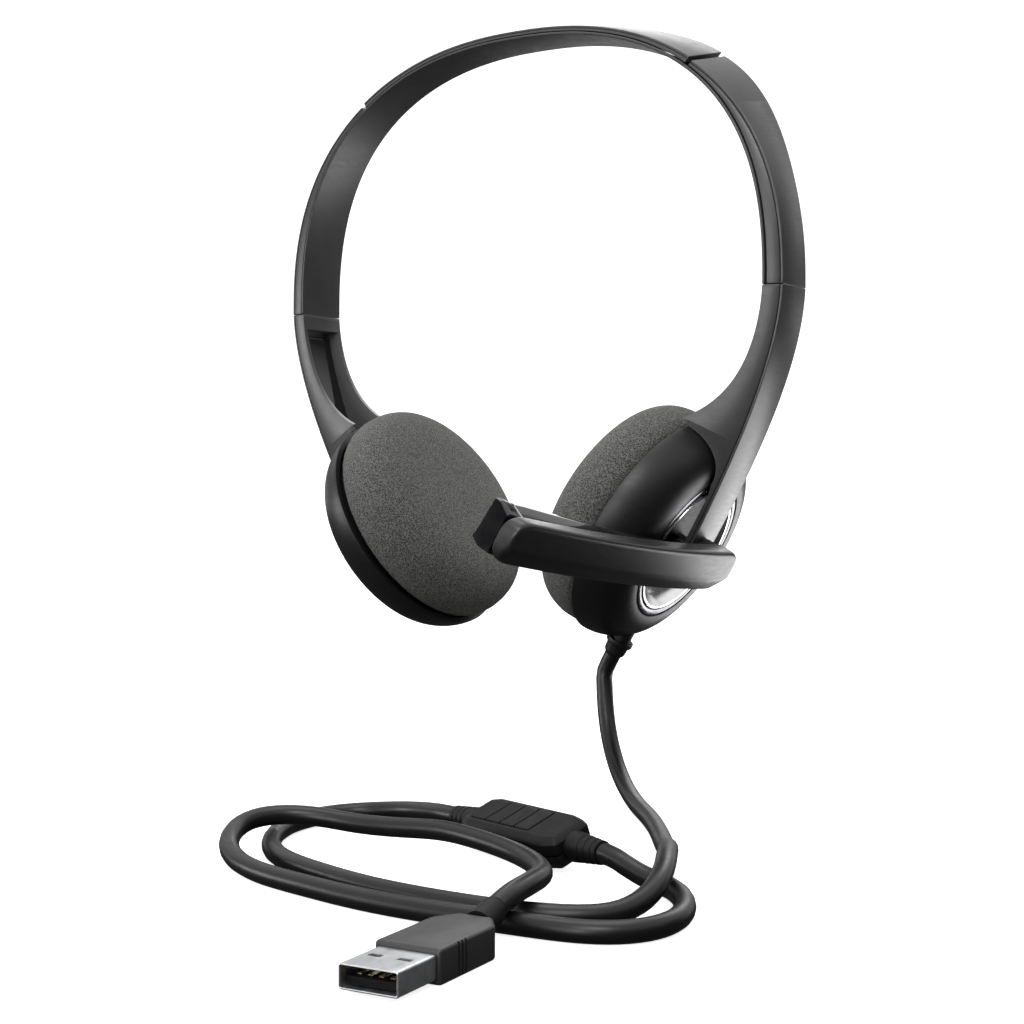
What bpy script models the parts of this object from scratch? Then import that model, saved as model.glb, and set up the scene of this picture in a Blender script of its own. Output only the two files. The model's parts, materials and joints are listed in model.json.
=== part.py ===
"""Office headset with a microphone boom, an in-line remote and a USB-A plug.

Frame: the origin is midway between the two ear cushions, +X is the wearer's left (the boom's side),
-Y is the front and +Z is up. A cup's own frame has X up its tilted face, Z outward along its axis and
its origin at the joint of foam and housing.
"""
import math

import bmesh
import bpy
import numpy as np
from mathutils import Matrix, Vector

MM = 0.001
GAP = 0.3 * MM           # between neighbouring solids
RUNNING = 0.15 * MM      # round a pin that turns

# Headband
HALF_SPAN = 80.8 * MM    # centre to the outer face at the shoulder
SHOULDER_Z = 57.0 * MM   # where the arch begins
ARCH_RISE = 73.0 * MM    # shoulder to crown
ARCH_SQUARENESS = 2.3    # 2 is an ellipse
SEAM_Z = 55.0 * MM       # where the arms leave the headband
BAND_WIDTH = 14.6 * MM   # outer face, front to back
BAND_FLARE = 0.3         # the side faces widen this much per unit of depth
CROWN_DEPTH = 2.0 * MM
SHOULDER_DEPTH = 5.2 * MM
CORE_DEPTH = 0.8 * MM    # the inner strip
COVER_RAISE = 0.5 * MM   # the centre cover stands proud by this
COVER_ANGLE = math.radians(51)
COVER_JOINT = math.radians(0.5)

# Cups
CUP_TILT = math.radians(30)
CUP_X, CUP_Z = 39.3 * MM, -8.1 * MM
CUSHION_RADIUS = 34.3 * MM
CUSHION_DEPTH = 18.2 * MM
HOUSING_RADIUS = 33.2 * MM
HOUSING_DEPTH = 12.3 * MM
HOUSING_WALL = 1.6 * MM
RING_RADIUS = 21.65 * MM
RING_STEP = 0.4 * MM     # the ring liner's place inside the bezel
RING_PROUD = 0.1 * MM
RING_FOOT = 2.6 * MM     # the liner's width at its foot and at its top
RING_TOP = 0.9 * MM
BEZEL_WIDTH = 2.6 * MM
BEZEL_DEPTH = 1.6 * MM
RECESS_FLOOR = 7.7 * MM  # outer face of the disc behind the ring
PLATE = 0.8 * MM
DRIVER_RADIUS = 19.0 * MM
BASKET_WALL = 1.7 * MM
BASKET_HEIGHT = 2.3 * MM
BASKET_BORE = 7.0 * MM
MAGNET_RADIUS = 9.0 * MM
BOSS_STEP = 3.0 * MM     # the baffle's boss is this much wider than the driver, and as deep
SOUND_HOLE = 1.1 * MM
BAFFLE_DEPTH = 1.8 * MM
BAFFLE_EDGE_GAP = 1.2 * MM

# Arms
ARM_START_HANDLE = 20.0 * MM
ARM_END_HANDLE = 30.0 * MM
ARM_END_WIDTH = 12.0 * MM
ARM_WALL = 1.5 * MM
ARM_FACE = 15.3 * MM     # outer face over the hub, along the cup's axis
ARM_END_REACH = 6.0 * MM  # the end runs past the hub by this
SADDLE_DEPTH = 16.2 * MM
SADDLE_Z = 14.0 * MM
SADDLE_CURVE = 4.2       # how late the arm deepens into the saddle
SADDLE_CLEARANCE = 0.5 * MM
BRIDGE = 4.8 * MM        # solid top of the arm
END_PLATE = 2.0 * MM
LINER_THICK = 0.8 * MM

# Slider
STRAP_WIDTH = 11.0 * MM
STRAP_THICK = 0.8 * MM
STRAP_IN_BAND = 25.0 * MM
STRAP_COVER = 1.5 * MM   # wall outside the strap
SCREW_RADIUS = 0.8 * MM
SCREW_HEAD = 1.5 * MM
SCREW_SPACING = 6.0 * MM

# Cup hinge
PIN_RADIUS = 1.2 * MM
PIN_HEIGHT = 10.6 * MM
KNUCKLE_RADIUS = 2.4 * MM
BLOCK_WIDTH = 4.4 * MM
LUG_WIDTH = 2.2 * MM
PIN_TURN = math.radians(9)  # keeps the bore's corners off the knuckle's

# Boom
BOOM_FACE = 24.0 * MM    # outer face at the hub, along the cup's axis
BOOM_THICK = 5.4 * MM
BOOM_HEIGHT = 13.0 * MM
BOOM_REACH = 90.0 * MM   # hub to tip, forward
BOOM_BEND = 13.0 * MM    # the tip's way in towards the mouth
BOOM_RISE = 0.05
CORE_START = 22.0 * MM
CORE_OVERHANG = 4.0 * MM
CORE_EDGE = 1.2 * MM     # the core is lower than the shell by this at top and bottom
CORE_THIN, CORE_THICK = 0.7 * MM, 5.0 * MM
BOOM_SLIM = 0.08         # how much height the boom loses to its tip
BOOM_THINNING = 1.0 * MM  # and how much thickness
MIC_FROM_TIP = 8.0 * MM
MIC_DEPTH = 3.0 * MM
MIC_HEIGHT = 2.2 * MM
MIC_RADIUS = 2.0 * MM
HUB_RADIUS = 5.6 * MM
AXLE_RADIUS = 1.6 * MM

# Cord
CORD_RADIUS = 2.3 * MM
FLOOR_Z = -82.0 * MM
BOOT_HEIGHT = 7.0 * MM   # the boot's axis, along the cup's axis
BOOT_BASE = 31.9 * MM
BOOT_END = 36.5 * MM
CORD_SPACING = 9.2 * MM

# Remote
REMOTE_CENTRE = Vector((53.0, -87.0, -75.8)) * MM
REMOTE_SIZE = Vector((34.0, 13.0, 8.5)) * MM
REMOTE_YAW = math.radians(-19)
REMOTE_ROLL = math.radians(20)
REMOTE_WALL = 1.2 * MM
BUTTON_SIZE = Vector((4.7, 8.2)) * MM
BUTTON_PITCH = 5.2 * MM
BUTTON_PROUD = 0.7 * MM
BUTTON_TRAVEL = 0.6 * MM
BUTTON_ROW_X = -3.2 * MM
RELIEF_LENGTH = 9.0 * MM

# Plug
PLUG_NOSE = Vector((87.2, -191.6)) * MM
PLUG_YAW = math.radians(3.5)
PLUG_SHELL = Vector((12.0, 12.0, 4.5)) * MM   # length, width, height
PLUG_WALL = 0.35 * MM
PLUG_BODY = Vector((24.0, 13.6, 6.4)) * MM
PLUG_EXIT_RISE = 1.0 * MM
PLUG_RELIEF = 6.0 * MM
PLUG_RELIEF_SLOPE = math.radians(18)
PLUG_RELIEF_BASE = 3.0 * MM

COLOURS = {
    "satin": ((0.075, 0.075, 0.08, 1), 0.42, 0.0),
    "dark": ((0.02, 0.02, 0.022, 1), 0.5, 0.0),
    "gloss": ((0.01, 0.01, 0.011, 1), 0.1, 0.0),
    "foam": ((0.09, 0.09, 0.083, 1), 0.95, 0.0),
    "chrome": ((0.8, 0.8, 0.82, 1), 0.08, 1.0),
    "steel": ((0.55, 0.55, 0.57, 1), 0.3, 1.0),
    "cord": ((0.02, 0.02, 0.021, 1), 0.45, 0.0),
    "board": ((0.03, 0.16, 0.07, 1), 0.5, 0.0),
    "gold": ((0.8, 0.6, 0.25, 1), 0.25, 1.0),
    "cone": ((0.6, 0.6, 0.58, 1), 0.6, 0.0),
}


# ---------------------------------------------------------------- helpers
def clear_scene():
    """Empty the scene and return the collections for parts and cutters."""
    for item in list(bpy.data.objects):
        bpy.data.objects.remove(item, do_unlink=True)
    made = []
    for name in ("office_headset", "cutters"):
        collection = bpy.data.collections.new(name)
        bpy.context.scene.collection.children.link(collection)
        made.append(collection)
    return made


def material(key):
    """The Principled material of one finish, made once."""
    found = bpy.data.materials.get(key)
    if found:
        return found
    colour, roughness, metallic = COLOURS[key]
    made = bpy.data.materials.new(key)
    made.use_nodes = True
    shader = made.node_tree.nodes["Principled BSDF"]
    shader.inputs["Base Color"].default_value = colour
    shader.inputs["Roughness"].default_value = roughness
    shader.inputs["Metallic"].default_value = metallic
    return made


def empty_frame(name, matrix, parent=None):
    """An empty that carries a local frame."""
    made = bpy.data.objects.new(name, None)
    made.empty_display_size = 0.01
    PARTS.objects.link(made)
    made.parent = parent
    made.matrix_local = matrix
    return made


def place(mesh, name, finish, parent=None, matrix=None):
    """Link a mesh as a part, or as a cutter when finish is None."""
    made = bpy.data.objects.new(name, mesh)
    if finish is None:
        CUTTERS.objects.link(made)
        made.display_type = "WIRE"
        made.hide_render = True
    else:
        PARTS.objects.link(made)
        # A copy that shares its mesh shares its material too.
        if not mesh.materials:
            mesh.materials.append(material(finish))
    made.parent = parent
    made.matrix_local = matrix or Matrix.Identity(4)
    return made


def mesh_from(name, points, faces):
    mesh = bpy.data.meshes.new(name)
    mesh.from_pydata([tuple(p) for p in points], [], faces)
    return mesh


def boolean(target, cutter, operation="DIFFERENCE"):
    step = target.modifiers.new(operation.lower(), "BOOLEAN")
    step.operation = operation
    step.solver = "EXACT"
    step.object = cutter
    return target


def turned(name, finish, profile, steps=36, closed=False, **where):
    """Turn a profile of (radius, height) about Z; it runs down its outer side."""
    count = len(profile)
    mesh = bpy.data.meshes.new(name)
    edges = [(i, i + 1) for i in range(count - 1)]
    if closed:
        edges.append((count - 1, 0))
    mesh.from_pydata([(r, 0.0, z) for r, z in profile], edges, [])
    made = place(mesh, name, finish, **where)
    screw = made.modifiers.new("turn", "SCREW")
    screw.steps = screw.render_steps = steps
    screw.use_merge_vertices = True
    screw.merge_threshold = 0.01 * MM
    screw.use_smooth_shade = True
    return made


def box(name, finish, size, centre=(0, 0, 0), bevel=0.0, **where):
    """A box of the given size, with bevelled edges where asked."""
    mesh = bpy.data.meshes.new(name)
    work = bmesh.new()
    bmesh.ops.create_cube(work, size=1.0)
    bmesh.ops.scale(work, vec=size, verts=work.verts)
    bmesh.ops.translate(work, vec=centre, verts=work.verts)
    work.to_mesh(mesh)
    work.free()
    made = place(mesh, name, finish, **where)
    if bevel:
        step = made.modifiers.new("edges", "BEVEL")
        step.width = bevel
        step.segments = 2
        step.limit_method = "ANGLE"
    return made


def cylinder(name, finish, radius, length, steps=20, matrix=None, parent=None):
    """A cylinder along local Z, centred."""
    mesh = bpy.data.meshes.new(name)
    work = bmesh.new()
    bmesh.ops.create_cone(work, cap_ends=True, segments=steps, radius1=radius, radius2=radius, depth=length)
    work.to_mesh(mesh)
    work.free()
    mesh.shade_smooth()
    mesh.set_sharp_from_angle(angle=math.radians(40))
    return place(mesh, name, finish, parent=parent, matrix=matrix)


def knuckle(name, root, width, offset, frame):
    """A bar round the pin's axis at its near end and square at its root, to join to a hinge leaf."""
    sign = math.copysign(1, root - PIN_HEIGHT)
    turns = np.linspace(math.pi, 2 * math.pi, 9)
    outline = [
        (KNUCKLE_RADIUS * math.cos(a), PIN_HEIGHT + sign * KNUCKLE_RADIUS * math.sin(a)) for a in turns]
    outline += [(KNUCKLE_RADIUS, root), (-KNUCKLE_RADIUS, root)]
    rings = [[(x, offset + y, z) for x, z in outline] for y in (-width / 2, width / 2)]
    return loft(name, None, rings, parent=frame)


def across_pin(name, finish, radius, length, frame, turn=0.0):
    """A cylinder along the hinge pin's axis."""
    lie = Matrix.Rotation(math.pi / 2, 4, "X") @ Matrix.Rotation(turn, 4, "Z")
    return cylinder(name, finish, radius, length, 20, Matrix.Translation((0, 0, PIN_HEIGHT)) @ lie, frame)


def loft(name, finish, sections, **where):
    """Join closed rings of equal count, with flat caps on both ends."""
    rings = np.asarray(sections, float)
    count, around = rings.shape[:2]
    faces = []
    for i in range(count - 1):
        for j in range(around):
            k = (j + 1) % around
            faces.append((i * around + j, i * around + k, (i + 1) * around + k, (i + 1) * around + j))
    faces.append(tuple(reversed(range(around))))
    faces.append(tuple((count - 1) * around + j for j in range(around)))
    mesh = mesh_from(name, rings.reshape(-1, 3), faces)
    work = bmesh.new()
    work.from_mesh(mesh)
    bmesh.ops.recalc_face_normals(work, faces=work.faces)
    work.to_mesh(mesh)
    work.free()
    mesh.shade_smooth()
    mesh.set_sharp_from_angle(angle=math.radians(32))
    return place(mesh, name, finish, **where)


# ---------------------------------------------------------------- outer line of headband and arms
def arch_point(angle):
    """Outer line of the arch in X and Z; 0 is the right shoulder and pi the left."""
    power = 2.0 / ARCH_SQUARENESS
    across = math.copysign(abs(math.cos(angle)) ** power, math.cos(angle))
    return np.array([HALF_SPAN * across, SHOULDER_Z + ARCH_RISE * abs(math.sin(angle)) ** power])


def band_depth(angle):
    return CROWN_DEPTH + (SHOULDER_DEPTH - CROWN_DEPTH) * math.cos(angle) ** 4


def outward(line):
    """Unit normals of a line that runs anticlockwise over the head."""
    along = np.gradient(line, axis=0)
    along /= np.linalg.norm(along, axis=1)[:, None]
    return np.stack([along[:, 1], -along[:, 0]], axis=1)


def band_section(point, normal, half_width, top, bottom, lip=0.0):
    """A trapezoid across the band between two depths."""
    corners = []
    for depth, side in ((top, -1), (top, 1), (bottom, 1), (bottom, -1)):
        spot = point - normal * depth
        corners.append((spot[0], side * (half_width + BAND_FLARE * depth + lip), spot[1]))
    return corners


def band_piece(name, finish, start, end, steps, top, bottom, lip=0.0, seams=(False, False)):
    """A stretch of the headband; top and bottom give depths from an angle."""
    angles = np.linspace(start, end, steps)
    line = [arch_point(a) for a in angles]
    angles = list(angles)
    drop = SHOULDER_Z - SEAM_Z - GAP / 2
    if seams[0]:
        line.insert(0, np.array([HALF_SPAN, SHOULDER_Z - drop]))
        angles.insert(0, 0.0)
    if seams[1]:
        line.append(np.array([-HALF_SPAN, SHOULDER_Z - drop]))
        angles.append(math.pi)
    line = np.array(line)
    normals = outward(line)
    for at, wanted, sign in ((0, seams[0], 1), (-1, seams[1], -1)):
        if wanted:
            normals[at] = (sign, 0.0)
    sections = [
        band_section(p, n, BAND_WIDTH / 2, top(a), bottom(a), lip)
        for p, n, a in zip(line, normals, angles)
    ]
    return loft(name, finish, sections)


def build_headband():
    """Core strip, centre cover and the two side covers, with slots for the slider straps."""
    outer = lambda a: 0.0
    layer = lambda a: band_depth(a) - CORE_DEPTH - GAP
    band_piece(
        "band_core", "dark", 0.0, math.pi, 41, lambda a: band_depth(a) - CORE_DEPTH, band_depth,
        lip=0.2 * MM, seams=(True, True))
    band_piece(
        "centre_cover", "satin", COVER_ANGLE + COVER_JOINT, math.pi - COVER_ANGLE - COVER_JOINT, 21,
        lambda a: -COVER_RAISE, layer)
    covers = {}
    for side, start, end, seams in (
        ("right", 0.0, COVER_ANGLE - COVER_JOINT, (True, False)),
        ("left", math.pi - COVER_ANGLE + COVER_JOINT, math.pi, (False, True)),
    ):
        covers[side] = band_piece(f"side_cover_{side}", "satin", start, end, 15, outer, layer, seams=seams)
    return covers


# ---------------------------------------------------------------- frames
def side_frames():
    """One frame per side: the left one is the right one turned half a turn about Z."""
    right = empty_frame("right_side", Matrix.Identity(4))
    left = empty_frame("left_side", Matrix.Rotation(math.pi, 4, "Z"))
    return {"right": right, "left": left}


def cup_matrix():
    """The cup's frame on the right side: X up the tilted face, Y forward, Z outward."""
    up = Vector((math.sin(CUP_TILT), 0, math.cos(CUP_TILT)))
    out = Vector((math.cos(CUP_TILT), 0, -math.sin(CUP_TILT)))
    matrix = Matrix.Identity(4)
    matrix.col[0] = (*up, 0)
    matrix.col[1] = (0, -1, 0, 0)
    matrix.col[2] = (*out, 0)
    matrix.translation = (CUP_X, 0, CUP_Z)
    return matrix


def in_cup(along, up):
    """A point of the cup's XZ plane, given in the side's frame."""
    spot = cup_matrix() @ Vector((up, 0, along))
    return np.array([spot.x, spot.z])


# ---------------------------------------------------------------- cups
def housing_outline(extra=0.0):
    """Outer side of the bowl from rim to mouth, as (radius, height) grown by extra."""
    span = HOUSING_RADIUS - RING_RADIUS
    outline = []
    # The bowl is a squared-off quarter arc between the rim and the mouth.
    for angle in np.linspace(0, math.pi / 2, 9):
        radius = RING_RADIUS + span * math.cos(angle) ** 0.9
        height = HOUSING_DEPTH * math.sin(angle) ** 1.25
        outline.append((radius + extra, height + extra * math.sin(angle)))
    outline.reverse()
    return outline


def build_cup(side, frame):
    """Housing, bezel, ring liner, recess disc, pivot block, driver parts and cushion."""
    name = lambda piece: f"{piece}_{side}"
    outline = housing_outline()
    inner = [(r - HOUSING_WALL, max(z - HOUSING_WALL * 0.6, 0.0)) for r, z in reversed(outline[1:-1])]
    rim_inner = RING_RADIUS - HOUSING_WALL
    bezel_floor = HOUSING_DEPTH - BEZEL_DEPTH
    seat = [(rim_inner, bezel_floor - GAP), (rim_inner, HOUSING_DEPTH)]
    housing = turned(
        name("cup_housing"), "satin",
        outline + [(HOUSING_RADIUS - HOUSING_WALL, 0.0)] + inner + seat, closed=True, parent=frame)

    liner_outer = RING_RADIUS - BEZEL_WIDTH - RING_STEP
    bezel_outer = rim_inner - GAP
    turned(name("cup_bezel"), "dark", [
        (bezel_outer, HOUSING_DEPTH), (bezel_outer, bezel_floor),
        (liner_outer + GAP, bezel_floor), (liner_outer + GAP, HOUSING_DEPTH)], closed=True, parent=frame)
    foot = RECESS_FLOOR + GAP
    turned(name("ring_liner"), "chrome", [
        (liner_outer, HOUSING_DEPTH + RING_PROUD), (liner_outer, foot),
        (liner_outer - RING_FOOT, foot), (liner_outer - RING_TOP, HOUSING_DEPTH + RING_PROUD)],
        closed=True, parent=frame)
    build_pivot_plate(name("pivot_plate"), liner_outer - GAP, frame)
    build_driver(name, frame)
    build_cushion(name("ear_cushion"), frame)
    return housing


def build_pivot_plate(name, radius, frame):
    """The disc behind the ring and the cup's half of the hinge: a round-topped block with a bore."""
    low = RECESS_FLOOR - PLATE
    plate = turned(
        name, "dark", [(0, RECESS_FLOOR), (radius, RECESS_FLOOR), (radius, low), (0, low)], parent=frame)
    block = knuckle(f"{name}_block", low + PLATE / 2, BLOCK_WIDTH, 0.0, frame)
    boolean(plate, block, "UNION")
    bore = across_pin(f"{name}_bore", None, PIN_RADIUS + RUNNING, 2 * BLOCK_WIDTH, frame, PIN_TURN)
    boolean(plate, bore)


def build_driver(name, frame):
    """Baffle with sound holes, diaphragm, basket and magnet."""
    low = 0.2 * MM
    rim = HOUSING_RADIUS - HOUSING_WALL - BAFFLE_EDGE_GAP
    back = low + BAFFLE_DEPTH
    boss = DRIVER_RADIUS + BOSS_STEP
    baffle = turned(name("speaker_baffle"), "dark", [
        (0, back), (rim, back), (rim, low), (boss, low), (boss, -BOSS_STEP), (0, -BOSS_STEP)], parent=frame)
    for ring_radius, count in ((0.0, 1), (6 * MM, 6), (12 * MM, 12)):
        for i in range(count):
            turn = 2 * math.pi * i / count
            spot = Matrix.Translation((ring_radius * math.cos(turn), ring_radius * math.sin(turn), 0))
            hole = f"{name('sound_hole')}_{int(ring_radius / MM)}_{i}"
            boolean(baffle, cylinder(hole, None, SOUND_HOLE, 12 * MM, 8, spot, frame))
    start = back + GAP
    inside = DRIVER_RADIUS - BASKET_WALL
    turned(name("diaphragm"), "cone", [
        (0, start + 0.9 * MM), (inside * 0.5, start + 0.4 * MM), (inside - GAP, start + 0.8 * MM),
        (inside - GAP, start + 0.3 * MM), (inside * 0.5, start), (0, start + 0.5 * MM)], steps=24, parent=frame)
    top = start + BASKET_HEIGHT
    turned(name("driver_basket"), "steel", [
        (DRIVER_RADIUS, top), (DRIVER_RADIUS, start), (inside, start), (inside, start + 1.4 * MM),
        (BASKET_BORE, start + 1.4 * MM), (BASKET_BORE, top)], steps=24, closed=True, parent=frame)
    turned(name("driver_magnet"), "steel", [
        (0, RECESS_FLOOR - PLATE - GAP), (MAGNET_RADIUS, RECESS_FLOOR - PLATE - GAP), (MAGNET_RADIUS, top + GAP),
        (0, top + GAP)], steps=24, parent=frame)


def build_cushion(name, frame):
    """The foam pad: a flat centre, a round edge and a recess for the baffle's boss."""
    radius, depth = CUSHION_RADIUS, CUSHION_DEPTH
    face = -depth
    edge = [
        (radius - 1.9 * MM, -GAP), (radius - 0.6 * MM, -2.0 * MM), (radius, -5.8 * MM),
        (radius - 0.9 * MM, face * 0.58), (radius - 3.4 * MM, face * 0.78), (radius - 7.6 * MM, face * 0.91),
        (radius - 13 * MM, face * 0.98), (radius - 19 * MM, face), (0, face)]
    recess = DRIVER_RADIUS + BOSS_STEP + GAP
    floor = -BOSS_STEP - GAP
    turned(name, "foam", [(0, floor), (recess, floor), (recess, -GAP)] + edge, parent=frame)


# ---------------------------------------------------------------- arms
def arm_line(start, steps):
    """Outer line of the right arm from a start ratio to its end, in X and Z."""
    first = np.array([HALF_SPAN, SHOULDER_Z])
    last = in_cup(ARM_FACE, 0.0)
    up = in_cup(ARM_FACE, 1.0) - last
    handles = np.array([first, first - (0, ARM_START_HANDLE), last + up * ARM_END_HANDLE, last])
    t = np.linspace(start, 1.0, steps)[:, None]
    bend = (1 - t) ** 3 * handles[0] + 3 * (1 - t) ** 2 * t * handles[1]
    bend = bend + 3 * (1 - t) * t ** 2 * handles[2] + t ** 3 * handles[3]
    return np.vstack([bend, last - up * ARM_END_REACH])


def arm_sections(line, top, bottom, inset=0.0, level_start=False):
    """Trapezoids down the arm's line; top and bottom give depths from the height."""
    normals = -outward(line)
    normals[-1] = normals[-2]
    if level_start:
        normals[0] = (1.0, 0.0)
    along = np.concatenate([[0], np.cumsum(np.linalg.norm(np.diff(line, axis=0), axis=1))])
    share = along / along[-1]
    half = (BAND_WIDTH + (ARM_END_WIDTH - BAND_WIDTH) * share ** 3) / 2 - inset
    return [
        band_section(p, n, h, top(p[1]), bottom(p[1]))
        for p, n, h in zip(line, normals, half)
    ]


def saddle_depth(height):
    share = min(max((SHOULDER_Z - height) / (SHOULDER_Z - SADDLE_Z), 0.0), 1.0)
    return SHOULDER_DEPTH + (SADDLE_DEPTH - SHOULDER_DEPTH) * share ** SADDLE_CURVE


def slide_axis():
    """Where the strap runs: the chord of the arch over the strap's length, as point and direction."""
    low = np.array([HALF_SPAN, SEAM_Z])
    angles = np.linspace(0, math.pi / 4, 200)
    line = np.array([arch_point(a) for a in angles])
    high = line[np.argmin(abs(line[:, 1] - SEAM_Z - STRAP_IN_BAND))]
    run = (low - high) / np.linalg.norm(low - high)
    inward = np.array([run[1], -run[0]])
    return low + inward * (STRAP_COVER + STRAP_THICK / 2), run


def strap_matrix():
    """The strap's frame on the right side: Z up the strap, X outward, origin at the seam."""
    point, run = slide_axis()
    matrix = Matrix.Identity(4)
    matrix.col[0] = (-run[1], 0, run[0], 0)
    matrix.col[2] = (-run[0], 0, -run[1], 0)
    matrix.translation = (point[0], 0, point[1])
    return matrix


def build_arm(side, frames, cup_frame, cover):
    """Channel with its saddle, strap, screws and liner."""
    parent = frames[side]
    line = arm_line(0.0, 25)
    line = line[line[:, 1] < SEAM_Z - GAP / 2]
    line = np.vstack([[HALF_SPAN, SEAM_Z - GAP / 2], line])
    sections = arm_sections(line, lambda z: 0.0, saddle_depth, level_start=True)
    arm = loft(f"arm_channel_{side}", "satin", sections, parent=parent)

    recess_top = SEAM_Z - BRIDGE
    rows = arm_line(0.0, 33)
    ring_top = in_cup(ARM_FACE, RING_RADIUS + 2 * MM)[1]
    rows = rows[(rows[:, 1] < recess_top) & (rows[:, 1] > ring_top)]
    deeper = lambda z: saddle_depth(z) + 3 * MM
    recess = loft(
        f"arm_recess_{side}", None, arm_sections(rows, lambda z: ARM_WALL, deeper, ARM_WALL), parent=parent)
    boolean(arm, recess)
    boolean(arm, saddle_cutter(side, cup_frame))
    add_lugs(arm, side, cup_frame)

    under = ARM_WALL + GAP
    liner_rows = rows[1:-1]
    loft(
        f"arm_liner_{side}", "gloss",
        arm_sections(liner_rows, lambda z: under, lambda z: under + LINER_THICK, ARM_WALL + GAP),
        parent=parent)
    build_strap(side, parent, arm, cover)
    return arm


def saddle_cutter(side, cup_frame):
    """The space of the cup in the arm: cushion, bowl and ring grown by the clearance."""
    clear = SADDLE_CLEARANCE
    below = CUSHION_RADIUS + clear
    plate_face = ARM_FACE - END_PLATE
    profile = [(0, plate_face), (RING_RADIUS - 3 * MM, plate_face)]
    profile += [(r + clear * 0.6, z + clear * 0.6) for r, z in housing_outline()]
    profile += [(below, 0.0), (below, -30 * MM), (0, -30 * MM)]
    return turned(f"saddle_space_{side}", None, profile, parent=cup_frame)


def add_lugs(arm, side, cup_frame):
    """Two lugs on the arm's end plate, bored for the hinge pin, and the pin."""
    offset = BLOCK_WIDTH / 2 + GAP + LUG_WIDTH / 2
    for i, sign in enumerate((-1, 1)):
        lug = knuckle(f"lug_{side}_{i}", ARM_FACE - END_PLATE / 2, LUG_WIDTH, sign * offset, cup_frame)
        boolean(arm, lug, "UNION")
    reach = 2 * (offset + LUG_WIDTH)
    bore = PIN_RADIUS + RUNNING
    boolean(arm, across_pin(f"lug_bore_{side}", None, bore, reach, cup_frame, PIN_TURN))
    across_pin(f"hinge_pin_{side}", "steel", PIN_RADIUS, 2 * offset + LUG_WIDTH, cup_frame)


def build_strap(side, parent, arm, cover):
    """The slider strap, its slots in arm and side cover, and its two screws."""
    matrix = strap_matrix()
    anchor = BRIDGE - 0.8 * MM
    length = STRAP_IN_BAND + anchor
    middle = (STRAP_IN_BAND - anchor) / 2
    strap = box(
        f"slider_strap_{side}", "steel", (STRAP_THICK, STRAP_WIDTH, length), (0, 0, middle),
        parent=parent, matrix=matrix)
    slot = box(
        f"strap_slot_{side}", None, (STRAP_THICK + 2 * GAP, STRAP_WIDTH + 2 * GAP, length + 2 * GAP),
        (0, 0, middle), parent=parent, matrix=matrix)
    boolean(arm, slot)
    boolean(cover, slot)

    height = -BRIDGE / 2
    depth = SHOULDER_DEPTH - STRAP_COVER - STRAP_THICK / 2
    inward = Matrix.Rotation(-math.pi / 2, 4, "Y")
    for i, sign in enumerate((-1, 1)):
        spot = matrix @ Matrix.Translation((0, sign * SCREW_SPACING / 2, height)) @ inward
        for name, finish, extra in (
            (f"strap_screw_{side}_{i + 1}", "steel", 0.0),
            (f"screw_bore_{side}_{i}", None, GAP),
        ):
            head_top = depth - 0.2 * MM if finish else depth + 2 * MM
            head_low = depth - 1.2 * MM - extra
            tip = -STRAP_THICK / 2 - (0.1 * MM if finish else 0.6 * MM)
            bore = turned(name, finish, [
                (0, head_top), (SCREW_HEAD + extra, head_top), (SCREW_HEAD + extra, head_low),
                (SCREW_RADIUS + extra, head_low), (SCREW_RADIUS + extra, tip), (0, tip)],
                steps=12, parent=parent, matrix=spot)
        boolean(arm, bore)
        boolean(strap, bore)


# ---------------------------------------------------------------- boom
def boom_spine(forward):
    """Height up the cup's face and outer-face distance along its axis, for a reach."""
    share = max(forward, 0.0) / BOOM_REACH
    return -0.5 * MM + BOOM_RISE * forward, BOOM_FACE - BOOM_BEND * share ** 2


def end_share(forward, start, end, radius):
    """How much of its full height a round-ended strip has at a reach."""
    near = min(forward - start, end - forward, radius)
    return math.sqrt(max(1 - (1 - near / radius) ** 2, 0.02))


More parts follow.
